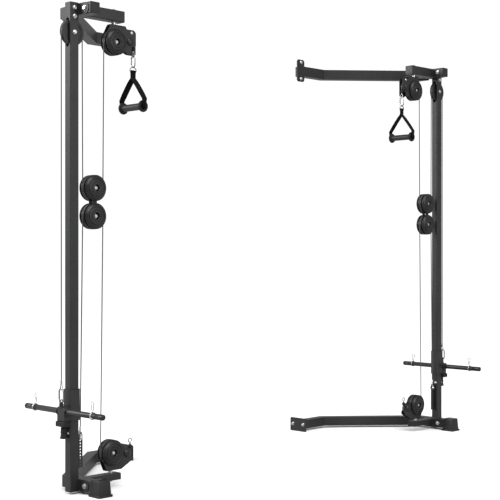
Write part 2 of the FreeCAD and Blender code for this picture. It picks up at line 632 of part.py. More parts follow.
# ---- Weight carriage --------------------------------------------------------------------------
def carriage():
    gap = SLEEVE_GAP
    hx, hy = POST_WIDTH / 2.0 + gap, POST_DEPTH / 2.0 + gap
    wall = SLEEVE_WALL
    z0, z1 = SLEEVE_BOTTOM, SLEEVE_BOTTOM + SLEEVE_HEIGHT
    sleeve = rounded(box(-hx - wall, hx + wall, -hy - wall, hy + wall, z0, z1), 5.0, (0, 0, 1))
    holder = box(BOX_OUT, -hx - wall + 1.0, -BOX_HALF, BOX_HALF, BOX_BOTTOM, BOX_TOP)
    holder = rounded(holder, 3.0, (0, 1, 0))
    pad = box(PAD_OUT, -hx - 1.0, -PAD_HALF, PAD_HALF, PAD_BOTTOM, BOX_BOTTOM + 1.0)
    pad = rounded(pad, 7.0, (0, 0, 1))
    half = EYE_PLATE / 2.0
    eye = box(EYE_X - EYE_HALF, EYE_X + EYE_HALF, -half, half, BOX_TOP - 2.0, BOX_TOP + EYE_HEIGHT)
    eye = rounded(eye, 8.0, (0, 1, 0))
    hole_z = BOX_TOP + EYE_HEIGHT - 10.0
    eye_hole = rod(EYE_HOLE_D, (EYE_X, -10, hole_z), (EYE_X, 10, hole_z))
    body = sleeve.multiFuse([holder, pad, eye]).removeSplitter()
    bore = box(-hx, hx, -hy, hy, z0 - 60.0, z1 + 20.0)
    bar_hole = rod(BAR_D, (BAR_X, -60, BAR_Z), (BAR_X, 60, BAR_Z))
    return body.cut(Part.makeCompound([bore, bar_hole, eye_hole]))


def weight_bar():
    """Plate bar with a stop disc on each side of its holder."""
    bar = rod(BAR_D, (BAR_X, -BAR_HALF_LENGTH, BAR_Z), (BAR_X, BAR_HALF_LENGTH, BAR_Z))
    parts = []
    for side in (-1, 1):
        y0 = side * BOX_HALF
        parts.append(rod(DISC_D, (BAR_X, y0, BAR_Z), (BAR_X, y0 + side * DISC_THICK, BAR_Z)))
    body = bar.multiFuse(parts).removeSplitter()
    seams = []
    for side in (-1, 1):
        outer_y = side * (BAR_HALF_LENGTH - BAR_CAP_LENGTH)
        seam_ends = [(BAR_X, outer_y, BAR_Z), (BAR_X, outer_y - side * SEAM_WIDTH, BAR_Z)]
        seams.append(rod(2 * BAR_D, *seam_ends).cut(rod(BAR_D - 2 * SEAM_DEPTH, *seam_ends)))
    room = POST_WIDTH / 2.0 + SLEEVE_GAP + SLEEVE_WALL
    relief = box(-room, 0, -BOX_HALF - 20, BOX_HALF + 20, 300, 400)
    return body.cut(Part.makeCompound(seams + [relief]))


def collar(y):
    """Spring collar: a coil that grips the bar and two wire ends that stand up from it."""
    inner = BAR_D + 2 * COLLAR_ROOM
    outer = inner + 2 * COLLAR_WIRE
    coil = rod(outer, (BAR_X, y - COLLAR_WIDTH / 2.0, BAR_Z), (BAR_X, y + COLLAR_WIDTH / 2.0, BAR_Z))
    coil = coil.cut(rod(inner, (BAR_X, y - 20, BAR_Z), (BAR_X, y + 20, BAR_Z)))
    parts = []
    for side in (-1, 1):
        foot = (BAR_X + side * 5.0, y + side * 4.0, BAR_Z + BAR_D / 2.0 + 1.2)
        tip = (BAR_X + side * 14.0, y + side * 16.0, BAR_Z + COLLAR_TIP_Z)
        parts.append(rod(COLLAR_WIRE, foot, tip))
        parts.append(Part.makeSphere(COLLAR_WIRE * 0.9, V(*tip)))
    return coil.multiFuse(parts).removeSplitter()


# ---- Handle and hooks -------------------------------------------------------------------------
def handle_hook():
    """Stop ball, cable eye, snap hook and the steel ring that the strap hangs from."""
    ball = Part.makeSphere(BALL_R, V(EXIT_X, 0, BALL_Z))
    eye = rod(8.0, (EXIT_X, 0, BALL_Z), (EXIT_X, 0, HANDLE_HOOK_Z + HANDLE_HOOK_LENGTH - 3.0))
    hook = snap_hook(EXIT_X, HANDLE_HOOK_Z, HANDLE_HOOK_LENGTH, HANDLE_HOOK_WIDTH)
    left, right = EXIT_X - RING_HALF, EXIT_X + RING_HALF
    shoulder = RING_BAR_Z + RING_SHOULDER
    corners = [(left, 0, RING_BAR_Z), (right, 0, RING_BAR_Z), (right, 0, shoulder),
               (EXIT_X + RING_TOP_HALF, 0, RING_TOP_Z), (EXIT_X - RING_TOP_HALF, 0, RING_TOP_Z),
               (left, 0, shoulder)]
    sides = [rod(RING_WIRE, corners[i - 1], corners[i]) for i in range(len(corners))]
    joints = [Part.makeSphere(RING_WIRE / 2.0, V(*corner)) for corner in corners]
    return ball.multiFuse([eye, hook] + sides + joints).removeSplitter()


def handle_strap():
    """Webbing loop: joined at the top round the ring, then a triangle whose base is in the grip."""
    thick = STRAP_THICK
    reach = STRAP_REACH
    low = GRIP_Z - STRAP_BASE
    points = [V(0, -thick, STRAP_SPLIT_Z), V(0, -thick, RING_BAR_Z), V(0, thick, RING_BAR_Z),
              V(0, thick, STRAP_SPLIT_Z), V(0, reach, GRIP_Z + 32), V(0, reach, low),
              V(0, reach - 3, low - 3), V(0, -reach + 3, low - 3), V(0, -reach, low),
              V(0, -reach, GRIP_Z + 32)]
    outer = Part.Face(Part.makePolygon(points + points[:1])).extrude(V(STRAP_WIDTH, 0, 0))
    inside = [V(0, 0, STRAP_SPLIT_Z - 4), V(0, reach - thick, GRIP_Z + 31), V(0, reach - thick, low),
              V(0, -reach + thick, low), V(0, -reach + thick, GRIP_Z + 31)]
    window = Part.Face(Part.makePolygon(inside + inside[:1])).extrude(V(STRAP_WIDTH, 0, 0))
    loop = rod(2 * STRAP_LOOP_R, (0, 0, RING_BAR_Z), (STRAP_WIDTH, 0, RING_BAR_Z))
    eye = rod(6.2, (-5, 0, RING_BAR_Z), (STRAP_WIDTH + 5, 0, RING_BAR_Z))
    spare = (STRAP_WIDTH - STRAP_FOLD) / 2.0
    folds = [box(x, x + spare, -100, 100, GRIP_Z - 50.0, GRIP_Z + 8.0) for x in (0, STRAP_WIDTH - spare)]
    solid = outer.cut(window).fuse(loop).removeSplitter().cut(Part.makeCompound([eye] + folds))
    solid.translate(V(EXIT_X - STRAP_WIDTH / 2.0, 0, 0))
    return solid


def handle_grip():
    tube = rod(GRIP_D, (EXIT_X, -GRIP_HALF, GRIP_Z), (EXIT_X, GRIP_HALF, GRIP_Z))
    discs = []
    for side in (-1, 1):
        end = side * GRIP_HALF
        disc = rod(GRIP_DISC_D, (EXIT_X, end, GRIP_Z), (EXIT_X, end - side * GRIP_DISC_THICK, GRIP_Z))
        discs.append(disc.makeChamfer(3.0, [e for e in disc.Edges if e.Closed]))
    body = tube.multiFuse(discs).removeSplitter()
    return body.cut(rod(GRIP_BORE, (EXIT_X, -GRIP_HALF - 5, GRIP_Z), (EXIT_X, GRIP_HALF + 5, GRIP_Z)))


def low_hook():
    """Stop ball and ring at the end of the low cable."""
    ball = Part.makeSphere(LOW_BALL_R, V(LOW_EXIT_X, 0, LOW_BALL_Z))
    neck = rod(6.0, (LOW_EXIT_X, 0, LOW_BALL_Z), (LOW_EXIT_X, 0, LOW_BALL_Z + 18.0))
    loop = ring(LOW_RING_R, 4.5, (LOW_EXIT_X, 0, LOW_BALL_Z + 26.0), (0, 1, 0))
    return ball.multiFuse([neck, loop]).removeSplitter()


# ---- Placing and writing ----------------------------------------------------------------------
def placed(shape, side):
    """Move a column's shape to the left column, or mirror it to the right one."""
    moved = shape.copy()
    moved.translate(V(-COLUMN_SPACING / 2.0, POST_Y, 0))
    if side == RIGHT:
        moved = moved.mirror(V(0, 0, 0), V(1, 0, 0))
    return moved


def write(name, solids):
    if len(solids) == 1:
        shape = solids[0]
        if len(shape.Solids) == 1:
            shape = shape.Solids[0]
    else:
        shape = Part.makeCompound([s for solid in solids for s in solid.Solids])
    assert shape.isValid(), name
    shape.exportStep("parts/" + name + ".step")
    print(name, len(shape.Solids), "solid(s)", round(shape.Volume / 1000.0, 1), "cm3")


def write_pair(name, solids):
    for side in (LEFT, RIGHT):
        write(name + "_" + side, [placed(s, side) for s in solids])


def write_shared(name, solids):
    write(name, [placed(s, side) for side in (LEFT, RIGHT) for s in solids])


HIGH_CABLE = [(EYE_X, WEIGHT_HOOK_Z + HOOK_LENGTH + 0.3, 0, 1), (0, TOP_WHEEL_Z, CABLE_R, 1),
              (BLOCK_X, BLOCK_UPPER_Z, CABLE_R, -1), (HIGH_X, HIGH_Z, CABLE_R, 1),
              (HIGH_X + ROLLER_X, HIGH_ROLLER_Z, ROLLER_CABLE_R, 1),
              (EXIT_X, BALL_Z + BALL_R, 0, 1)]
LOW_CABLE = [(STRIP_HOLE_X, FITTING_TOP, 0, 1), (BLOCK_X, BLOCK_LOWER_Z, CABLE_R, 1),
             (LOW_X, LOW_Z, CABLE_R, -1), (LOW_X + ROLLER_X, LOW_ROLLER_Z, ROLLER_CABLE_R, -1),
             (LOW_EXIT_X, LOW_BALL_Z - LOW_BALL_R, 0, -1)]

write_pair("post", [post()])
write_pair("upper_arm", [upper_arm()])
write_pair("lower_arm", [lower_arm()])
write_shared("pulley_arms", pulley_arms())
write_shared("post_brackets", [bracket(SIDE_TUBE_TOP - SIDE_TUBE / 2.0),
                               bracket(BASE_TUBE_BOTTOM + SIDE_TUBE / 2.0), anchor_strip()])
write_shared("stop_bumpers", stop_bumper())
write_shared("tube_end_caps", end_caps())
write_shared("rubber_feet", [rubber_foot()])
write_shared("frame_bolts", frame_bolts())
write_pair("high_cable", [cable(HIGH_CABLE)])
write_pair("low_cable", [cable(LOW_CABLE)])
write_pair("carriage", [carriage()])
write_pair("weight_bar", [weight_bar()])
write_pair("collar_front", [collar(COLLAR_FRONT_Y)])
write_pair("collar_rear", [collar(COLLAR_REAR_Y)])
write_pair("weight_hook", [snap_hook(EYE_X, WEIGHT_HOOK_Z, HOOK_LENGTH, HOOK_WIDTH)])
write_pair("top_wheel", [wheel(0, TOP_WHEEL_Z, CABLE_R, WHEEL_R, WHEEL_THICK, AXLE_D + 2 * PIN_FIT)])
write_pair("float_frame", [float_frame()])
write_pair("float_covers", covers(BLOCK_X, (BLOCK_UPPER_Z, BLOCK_LOWER_Z)))
for wheel_name, wheel_x, wheel_z in (("float_upper_wheel", BLOCK_X, BLOCK_UPPER_Z),
                                     ("float_lower_wheel", BLOCK_X, BLOCK_LOWER_Z),
                                     ("high_head_wheel", HIGH_X, HIGH_Z),
                                     ("low_head_wheel", LOW_X, LOW_Z)):
    write_pair(wheel_name, [wheel(wheel_x, wheel_z, CABLE_R, WHEEL_R, WHEEL_THICK, AXLE_D + 2 * PIN_FIT)])
write_pair("high_head", [head(HIGH_X, HIGH_Z, 1, HIGH_ROLLER_Z, HIGH_FRONT_PLATE, HIGH_REAR_PLATE,
                              HIGH_SPACER)])
write_pair("high_head_covers", head_covers(HIGH_X, HIGH_Z, HIGH_ROLLER_Z))
write_pair("low_head", [head(LOW_X, LOW_Z, -1, LOW_ROLLER_Z, LOW_PLATE, LOW_PLATE, LOW_SPACER)])
write_pair("low_head_covers", head_covers(LOW_X, LOW_Z, LOW_ROLLER_Z))
for roller_name, roller_x, roller_z in (("high_head_roller", HIGH_X + ROLLER_X, HIGH_ROLLER_Z),
                                        ("low_head_roller", LOW_X + ROLLER_X, LOW_ROLLER_Z)):
    write_pair(roller_name, [wheel(roller_x, roller_z, ROLLER_CABLE_R, ROLLER_R, ROLLER_THICK,
                                   ROLLER_AXLE_D + 2 * PIN_FIT)])
write_pair("handle_hook", [handle_hook()])
write_pair("handle_strap", [handle_strap()])
write_pair("handle_grip", [handle_grip()])
write_pair("low_hook", [low_hook()])
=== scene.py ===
"""Looks of the two-column cable crossover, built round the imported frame.

A column's pieces are drawn in millimetres in the left column's own frame: x inward from the post's
axis, y back from it and z up from the floor. put() moves them to the left column or mirrors them."""
import json
import math

import bmesh
import bpy
from mathutils import Matrix, Vector


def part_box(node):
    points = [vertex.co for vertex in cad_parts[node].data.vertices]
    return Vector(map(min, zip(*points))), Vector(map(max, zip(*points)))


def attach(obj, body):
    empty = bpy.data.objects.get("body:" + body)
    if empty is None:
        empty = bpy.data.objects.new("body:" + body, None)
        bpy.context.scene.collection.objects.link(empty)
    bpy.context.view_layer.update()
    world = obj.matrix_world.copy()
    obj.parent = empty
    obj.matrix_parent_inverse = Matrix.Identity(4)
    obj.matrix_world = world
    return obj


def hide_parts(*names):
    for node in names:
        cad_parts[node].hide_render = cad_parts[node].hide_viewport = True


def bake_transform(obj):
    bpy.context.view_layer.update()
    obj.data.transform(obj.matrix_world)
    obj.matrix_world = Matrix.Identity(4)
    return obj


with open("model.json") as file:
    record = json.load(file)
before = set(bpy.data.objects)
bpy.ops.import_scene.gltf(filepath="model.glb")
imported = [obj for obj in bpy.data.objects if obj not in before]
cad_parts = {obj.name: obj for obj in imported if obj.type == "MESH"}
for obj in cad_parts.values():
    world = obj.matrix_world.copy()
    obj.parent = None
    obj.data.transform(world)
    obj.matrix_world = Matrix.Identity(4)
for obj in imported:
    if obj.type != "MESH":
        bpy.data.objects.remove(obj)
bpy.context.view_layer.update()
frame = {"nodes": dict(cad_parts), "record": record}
MM = 0.001
SIDES = ("left", "right")


# ---- Places read from the frame ---------------------------------------------------------------
POST_LO, POST_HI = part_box("post_left")
AXIS = Vector(((POST_LO.x + POST_HI.x) / 2, (POST_LO.y + POST_HI.y) / 2, 0.0))


def ends(node):
    """Lowest and highest corner of a left column's node, in the column's frame."""
    low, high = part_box(node + "_left")
    return (low - AXIS) / MM, (high - AXIS) / MM


def middle(node):
    low, high = ends(node)
    return (low + high) / 2


POST_W = (POST_HI.x - POST_LO.x) / MM
POST_D = (POST_HI.y - POST_LO.y) / MM
TOP_WHEEL = middle("top_wheel")
BLOCK_UPPER = middle("float_upper_wheel")
BLOCK_LOWER = middle("float_lower_wheel")
HIGH_WHEEL = middle("high_head_wheel")
LOW_WHEEL = middle("low_head_wheel")
HIGH_ROLLER = middle("high_head_roller")
LOW_ROLLER = middle("low_head_roller")
WHEEL_R = (ends("top_wheel")[1].x - ends("top_wheel")[0].x) / 2
ROLLER_R = (ends("high_head_roller")[1].x - ends("high_head_roller")[0].x) / 2
CABLE_D = ends("high_cable")[1].y - ends("high_cable")[0].y
CABLE_R = WHEEL_R - CABLE_D / 2
ROLLER_CABLE_R = ROLLER_R + 0.2
GRIP = middle("handle_grip")
GRIP_HALF = (ends("handle_grip")[1].y - ends("handle_grip")[0].y) / 2
STRAP_LOW, STRAP_HIGH = ends("handle_strap")
HOOK_LOW, HOOK_HIGH = ends("handle_hook")
WEIGHT_HOOK_LOW, WEIGHT_HOOK_HIGH = ends("weight_hook")
LOW_HOOK_LOW, LOW_HOOK_HIGH = ends("low_hook")
BAR_LOW, BAR_HIGH = ends("weight_bar")
BAR_X, BAR_Z = middle("collar_front").x, (BAR_LOW.z + BAR_HIGH.z) / 2
BAR_R = 12.5
BALL_R = 9.8
RING_HALF = (HOOK_HIGH.x - HOOK_LOW.x) / 2 - 2.5
FOLD = 22.0


# ---- Mesh tools -------------------------------------------------------------------------------
def turn_to(axis):
    """Rotation that carries +Z onto an axis."""
    return Vector((0, 0, 1)).rotation_difference(Vector(axis).normalized()).to_matrix().to_4x4()


def skin(bm, rings, closed=False):
    """Faces between each ring of vertices and the next, with both ends filled unless it is closed."""
    count = len(rings[0])
    for a, b in zip(rings, rings[1:] + rings[:1] if closed else rings[1:]):
        for i in range(count):
            j = (i + 1) % count
            bm.faces.new((a[i], a[j], b[j], b[i]))
    if not closed:
        bm.faces.new(rings[0][::-1])
        bm.faces.new(rings[-1])


def lathe(bm, profile, center, axis=(0, 1, 0), segments=64, closed=False):
    """A surface of revolution from (radius, height) points about an axis through a centre."""
    place = Matrix.Translation(Vector(center)) @ turn_to(axis)
    rings = []
    for radius, height in profile:
        if radius < 1e-6:
            rings.append([bm.verts.new(place @ Vector((0, 0, height)))])
            continue
        rings.append([bm.verts.new(place @ Vector((radius * math.cos(2 * math.pi * i / segments),
                                                   radius * math.sin(2 * math.pi * i / segments), height)))
                      for i in range(segments)])
    pairs = list(zip(rings, rings[1:]))
    if closed:
        pairs.append((rings[-1], rings[0]))
    for a, b in pairs:
        for i in range(segments):
            j = (i + 1) % segments
            corners = [a[i % len(a)], a[j % len(a)], b[j % len(b)], b[i % len(b)]]
            unique = [v for k, v in enumerate(corners) if v not in corners[:k]]
            if len(unique) > 2:
                bm.faces.new(unique)


def sweep(bm, points, radius, segments=12, closed=False, ripple=0.0, squash=1.0):
    """A round bar along points. ripple makes a weld bead's uneven thickness."""
    points = [Vector(p) for p in points]
    count = len(points)
    normal = None
    rings = []
    for i, point in enumerate(points):
        before = points[i - 1] if i or closed else point
        after = points[(i + 1) % count] if i < count - 1 or closed else point
        along = (after - before).normalized()
        if normal is None:
            normal = along.orthogonal().normalized()
        normal = (normal - along * normal.dot(along)).normalized()
        side = along.cross(normal)
        size = radius * (1 + ripple * math.sin(i * 2.4))
        rings.append([bm.verts.new(point + normal * (size * math.cos(2 * math.pi * k / segments))
                                   + side * (squash * size * math.sin(2 * math.pi * k / segments)))
                      for k in range(segments)])
    skin(bm, rings, closed)


def arc(center, radius, start, end, count, plane="xz"):
    """Points on an arc in the x-z or y-z plane, with angles in degrees."""
    points = []
    for i in range(count):
        angle = math.radians(start + (end - start) * i / (count - 1))
        a, b = radius * math.cos(angle), radius * math.sin(angle)
        offset = {"xz": (a, 0, b), "yz": (0, a, b)}[plane]
        points.append(Vector(center) + Vector(offset))
    return points


def rectangle(x0, y0, x1, y1):
    """Corners of a rectangle, anticlockwise from the lowest."""
    return [(x0, y0), (x1, y0), (x1, y1), (x0, y1)]


def rounded(points, radius, steps=5):
    """A closed 2-D outline with each corner replaced by an arc."""
    outline = []
    count = len(points)
    for i in range(count):
        corner = Vector(points[i])
        to_last = Vector(points[i - 1]) - corner
        to_next = Vector(points[(i + 1) % count]) - corner
        half = to_last.angle(to_next) / 2
        reach = min(radius / math.tan(half), to_last.length * 0.48, to_next.length * 0.48)
        size = reach * math.tan(half)
        bisector = (to_last.normalized() + to_next.normalized()).normalized()
        center = corner + bisector * (size / math.sin(half))
        start = corner + to_last.normalized() * reach - center
        end = corner + to_next.normalized() * reach - center
        for k in range(steps + 1):
            mix = start.lerp(end, k / steps).normalized() * size
            outline.append(center + mix)
    return outline


def prism(bm, outline, low, high, plane="xz"):
    """A 2-D outline extruded from low to high along the axis that its plane leaves out."""
    def at(p, h):
        return {"xz": (p[0], h, p[1]), "xy": (p[0], p[1], h), "yz": (h, p[0], p[1])}[plane]
    bottom = [bm.verts.new(at(p, low)) for p in outline]
    top = [bm.verts.new(at(p, high)) for p in outline]
    count = len(outline)
    bm.faces.new(bottom)
    bm.faces.new(top[::-1])
    for i in range(count):
        j = (i + 1) % count
        bm.faces.new((bottom[i], top[i], top[j], bottom[j]))


def block(bm, low, high, radius, plane="xz"):
    """A box with four rounded edges along one axis."""
    a, b, c = {"xz": (0, 2, 1), "xy": (0, 1, 2), "yz": (1, 2, 0)}[plane]
    prism(bm, rounded(rectangle(low[a], low[b], high[a], high[b]), radius), low[c], high[c], plane)


def hexagon(bm, base, axis, across, height):
    """A hexagonal head or nut with a chamfered top, standing on a base point."""
    place = Matrix.Translation(Vector(base)) @ turn_to(axis)
    radius = across / math.sqrt(3)
    layers = [(0.0, radius), (height * 0.8, radius), (height, radius * 0.86)]
    turns = [math.radians(60 * i) for i in range(6)]
    skin(bm, [[bm.verts.new(place @ Vector((r * math.cos(turn), r * math.sin(turn), h))) for turn in turns]
              for h, r in layers])


def bolt(bm, start, end, across, shank):
    """Hexagon bolt with washers: the head stands before start and the nut beyond end."""
    start, end = Vector(start), Vector(end)
    along = (end - start).normalized()
    thick = 1.6
    nut_height = across * 0.42
    washer = [(shank / 2, 0), (across * 0.62, 0), (across * 0.64, 0.3), (across * 0.64, thick - 0.3),
              (shank / 2, thick)]
    lathe(bm, washer, start, -along, 32, True)
    hexagon(bm, start - along * thick, -along, across, across * 0.36)
    lathe(bm, washer, end, along, 32, True)
    hexagon(bm, end + along * thick, along, across, nut_height)
    thread = [(0, 0)]
    for i in range(4):
        thread += [(shank * 0.43, i * 1.0), (shank * 0.5, i * 1.0 + 0.5)]
    thread += [(shank * 0.4, 4.4), (0, 4.4)]
    lathe(bm, thread, end + along * (thick + nut_height - 1.0), along, 24)


# ---- Placing ----------------------------------------------------------------------------------
def put(name, side, bm, material, body="root", replaced=(), bevel=0.0, angle=35.0, follow=None):
    """Turns a drawn shape into a piece of the left or right column that rides on a body.

    follow is (other body, start z, end z): the piece then keeps its placement baked into its mesh and rides
    on no body; the values in it are not used."""
    mesh = bpy.data.meshes.new(name + "_" + side)
    bmesh.ops.recalc_face_normals(bm, faces=bm.faces)
    flip = -1.0 if side == "right" else 1.0
    for vertex in bm.verts:
        place = AXIS + vertex.co * MM
        vertex.co = (place.x * flip, place.y, place.z)
    if flip < 0:
        bmesh.ops.reverse_faces(bm, faces=bm.faces)
    bm.to_mesh(mesh)
    bm.free()
    mesh.shade_smooth()
    mesh.set_sharp_from_angle(angle=math.radians(angle))
    piece = bpy.data.objects.new(name + "_" + side, mesh)
    bpy.context.scene.collection.objects.link(piece)
    mesh.materials.append(material)
    if bevel:
        edge = piece.modifiers.new("edges", "BEVEL")
        edge.width = bevel * MM
        edge.segments = 2
        edge.limit_method = "ANGLE"
        edge.angle_limit = math.radians(40)
    owner = body if body == "root" else body + "_" + side
    if follow:
        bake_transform(piece)
    else:
        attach(piece, owner)
    if replaced:
        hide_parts(*replaced)
    return piece


# ---- Materials --------------------------------------------------------------------------------
def tune(node, values):
    """Sets a node's inputs by name."""
    for name, value in values.items():
        node.inputs[name].default_value = value


def shader(name, base, roughness, metallic=0.0, specular=0.5):
    """A Principled material with object coordinates ready for its textures."""
    material = bpy.data.materials.new(name)
    material.use_nodes = True
    nodes, links = material.node_tree.nodes, material.node_tree.links
    surface = nodes["Principled BSDF"]
    tune(surface, {"Base Color": (*base, 1), "Roughness": roughness, "Metallic": metallic,
                   "Specular IOR Level": specular})
    coordinates = nodes.new("ShaderNodeTexCoord")
    return material, nodes, links, surface, coordinates.outputs["Object"]


def noise(nodes, links, source, scale, detail=4.0, rough=0.55):
    texture = nodes.new("ShaderNodeTexNoise")
    tune(texture, {"Scale": scale, "Detail": detail, "Roughness": rough})
    links.new(source, texture.inputs["Vector"])
    return texture.outputs["Fac"]


def ramp(nodes, links, source, stops):
    """A colour ramp from (position, colour) stops."""
    node = nodes.new("ShaderNodeValToRGB")
    elements = node.color_ramp.elements
    elements[0].position, elements[1].position = stops[0][0], stops[-1][0]
    elements[0].color, elements[1].color = (*stops[0][1], 1), (*stops[-1][1], 1)
    for position, colour in stops[1:-1]:
        elements.new(position).color = (*colour, 1)
    links.new(source, node.inputs["Fac"])
    return node.outputs["Color"]


def spread(nodes, links, source, low, high, start=0.3, end=0.7):
    node = nodes.new("ShaderNodeMapRange")
    tune(node, {"From Min": start, "From Max": end, "To Min": low, "To Max": high})
    links.new(source, node.inputs["Value"])
    return node.outputs["Result"]


def bump(nodes, links, source, surface, strength, distance, under=None):
    node = nodes.new("ShaderNodeBump")
    tune(node, {"Strength": strength, "Distance": distance})
    links.new(source, node.inputs["Height"])
    if under is not None:
        links.new(under, node.inputs["Normal"])
    links.new(node.outputs["Normal"], surface.inputs["Normal"])
    return node.outputs["Normal"]


def powder_coat():
    """Charcoal powder coat: faint cloudiness, fine orange peel and a few paler scuffs."""
    material, nodes, links, surface, place = shader("powder_coat", (0.014, 0.0142, 0.015), 0.42, 0.0, 0.42)
    cloud = noise(nodes, links, place, 9.0, 5.0)
    scuff = noise(nodes, links, place, 60.0, 6.0, 0.7)
    tone = ramp(nodes, links, cloud, [(0.3, (0.011, 0.0112, 0.0118)), (0.7, (0.017, 0.0173, 0.018))])
    worn = ramp(nodes, links, scuff, [(0.0, (0, 0, 0)), (0.71, (0, 0, 0)), (0.8, (0.35, 0.35, 0.35))])
    mix = nodes.new("ShaderNodeMix")
    mix.data_type = "RGBA"
    links.new(worn, mix.inputs["Factor"])
    links.new(tone, mix.inputs["A"])
    mix.inputs["B"].default_value = (0.04, 0.041, 0.043, 1)
    links.new(mix.outputs["Result"], surface.inputs["Base Color"])
    links.new(spread(nodes, links, scuff, 0.38, 0.46), surface.inputs["Roughness"])
    fine = bump(nodes, links, noise(nodes, links, place, 900.0, 2.0), surface, 0.16, 0.0006)
    bump(nodes, links, noise(nodes, links, place, 240.0, 3.0), surface, 0.08, 0.001, fine)
    return material


def moulded_plastic(name, tone, roughness, grain=0.2, specular=0.4):
    """Black moulded plastic with a fine spark-eroded grain and slightly greasy patches."""
    material, nodes, links, surface, place = shader(name, tone, roughness, 0.0, specular)
    cloud = noise(nodes, links, place, 26.0, 4.0)
    pale = tuple(c * 1.4 + 0.0015 for c in tone)
    links.new(ramp(nodes, links, cloud, [(0.3, tone), (0.72, pale)]), surface.inputs["Base Color"])
    links.new(spread(nodes, links, cloud, roughness - 0.06, roughness + 0.08), surface.inputs["Roughness"])
    cell = nodes.new("ShaderNodeTexVoronoi")
    cell.inputs["Scale"].default_value = 1100.0
    links.new(place, cell.inputs["Vector"])
    bump(nodes, links, cell.outputs["Distance"], surface, grain, 0.0004)
    return material


def plated_steel(name, dark, light, smooth, dull):
    """Plated steel: soft variation, fine brushing and small dull spots."""
    material, nodes, links, surface, place = shader(name, light, smooth, 1.0)
    cloud = noise(nodes, links, place, 120.0, 5.0)
    links.new(ramp(nodes, links, cloud, [(0.3, dark), (0.7, light)]), surface.inputs["Base Color"])
    links.new(spread(nodes, links, cloud, smooth, dull), surface.inputs["Roughness"])
    stretch = nodes.new("ShaderNodeMapping")
    stretch.inputs["Scale"].default_value = (1.0, 1.0, 9.0)
    links.new(place, stretch.inputs["Vector"])
    bump(nodes, links, noise(nodes, links, stretch.outputs["Vector"], 700.0, 2.0), surface, 0.12, 0.0003)
    return material


def coated_cable():
    """Grey vinyl jacket through which the lay of the wire rope shows as a slanted ripple."""
    material, nodes, links, surface, place = shader("coated_cable", (0.05, 0.0515, 0.054), 0.34)
    wave = nodes.new("ShaderNodeTexWave")
    wave.wave_type = "BANDS"
    wave.bands_direction = "DIAGONAL"
    tune(wave, {"Scale": 130.0, "Distortion": 0.4})
    links.new(place, wave.inputs["Vector"])
    cloud = noise(nodes, links, place, 30.0)
    links.new(ramp(nodes, links, cloud, [(0.3, (0.036, 0.037, 0.039)), (0.7, (0.065, 0.067, 0.07))]),
              surface.inputs["Base Color"])
    bump(nodes, links, wave.outputs["Fac"], surface, 0.25, 0.0004)
    return material


def webbing():
    """Black nylon webbing: a close weave in two directions with a soft sheen."""
    material, nodes, links, surface, place = shader("webbing", (0.002, 0.002, 0.0021), 0.9, 0.0, 0.08)
    tune(surface, {"Sheen Weight": 0.02, "Sheen Roughness": 0.5})
    total = None
    for direction, scale in (("Z", 420.0), ("X", 300.0), ("Y", 300.0)):
        wave = nodes.new("ShaderNodeTexWave")
        wave.bands_direction = direction
        tune(wave, {"Scale": scale / (2 * math.pi), "Distortion": 0.6})
        links.new(place, wave.inputs["Vector"])
        if total is None:
            total = wave.outputs["Fac"]
            continue
        blend = nodes.new("ShaderNodeMath")
        blend.operation = "MULTIPLY_ADD"
        links.new(wave.outputs["Fac"], blend.inputs[0])
        blend.inputs[1].default_value = 0.5
        links.new(total, blend.inputs[2])
        total = blend.outputs["Value"]
    links.new(ramp(nodes, links, total, [(0.2, (0.001, 0.001, 0.0011)), (1.0, (0.005, 0.005, 0.0053))]),
              surface.inputs["Base Color"])
    bump(nodes, links, total, surface, 0.55, 0.0006)
    return material


def floor_paint():
    """White floor that throws only part of its light back up, so undersides stay dark."""
    material, nodes, links, surface, place = shader("studio_floor", (0.9, 0.9, 0.9), 0.9, 0.0, 0.1)
    white = ramp(nodes, links, noise(nodes, links, place, 3.0), [(0.3, (0.895, 0.895, 0.895)),
                                                                 (0.7, (0.905, 0.905, 0.905))])
    ray = nodes.new("ShaderNodeLightPath")
    mix = nodes.new("ShaderNodeMix")
    mix.data_type = "RGBA"
    links.new(ray.outputs["Is Camera Ray"], mix.inputs["Factor"])
    mix.inputs["A"].default_value = (0.45, 0.45, 0.45, 1)
    links.new(white, mix.inputs["B"])
    links.new(mix.outputs["Result"], surface.inputs["Base Color"])
    return material


PAINT = powder_coat()
PLASTIC = moulded_plastic("black_plastic", (0.006, 0.0062, 0.0066), 0.36)
NYLON = moulded_plastic("pulley_nylon", (0.012, 0.0123, 0.013), 0.34, 0.1)
RUBBER = moulded_plastic("black_rubber", (0.005, 0.005, 0.0053), 0.6, 0.35, 0.3)
GRIP_RUBBER = moulded_plastic("grip_rubber", (0.016, 0.0164, 0.0172), 0.42, 0.1, 0.3)
STEEL = plated_steel("zinc_steel", (0.48, 0.485, 0.5), (0.8, 0.805, 0.82), 0.2, 0.38)
CHROME = plated_steel("chrome_steel", (0.2, 0.205, 0.215), (0.42, 0.425, 0.44), 0.08, 0.2)
VINYL = coated_cable()
WEBBING = webbing()
SLOT_MATERIAL = {"frame_paint": PAINT, "black_plastic": PLASTIC, "pulley_plastic": NYLON, "rubber": RUBBER,
                 "zinc_steel": STEEL, "coated_cable": VINYL, "webbing": WEBBING, "grip_foam": GRIP_RUBBER}


def dress_cad_nodes():
    """Gives each CAD node the finish of its own material slot."""
    slots = {row["node"]: row["material_slot"] for row in frame["record"]["subparts"]}
    for name, node in frame["nodes"].items():
        node.data.materials.clear()
        node.data.materials.append(SLOT_MATERIAL[slots[name]])


# ---- Frame pieces -----------------------------------------------------------------------------
SIDE_TUBE = 50.0
SIDE_X = 25.8
ARM_PLATE_HIGH = ends("upper_arm")[1]


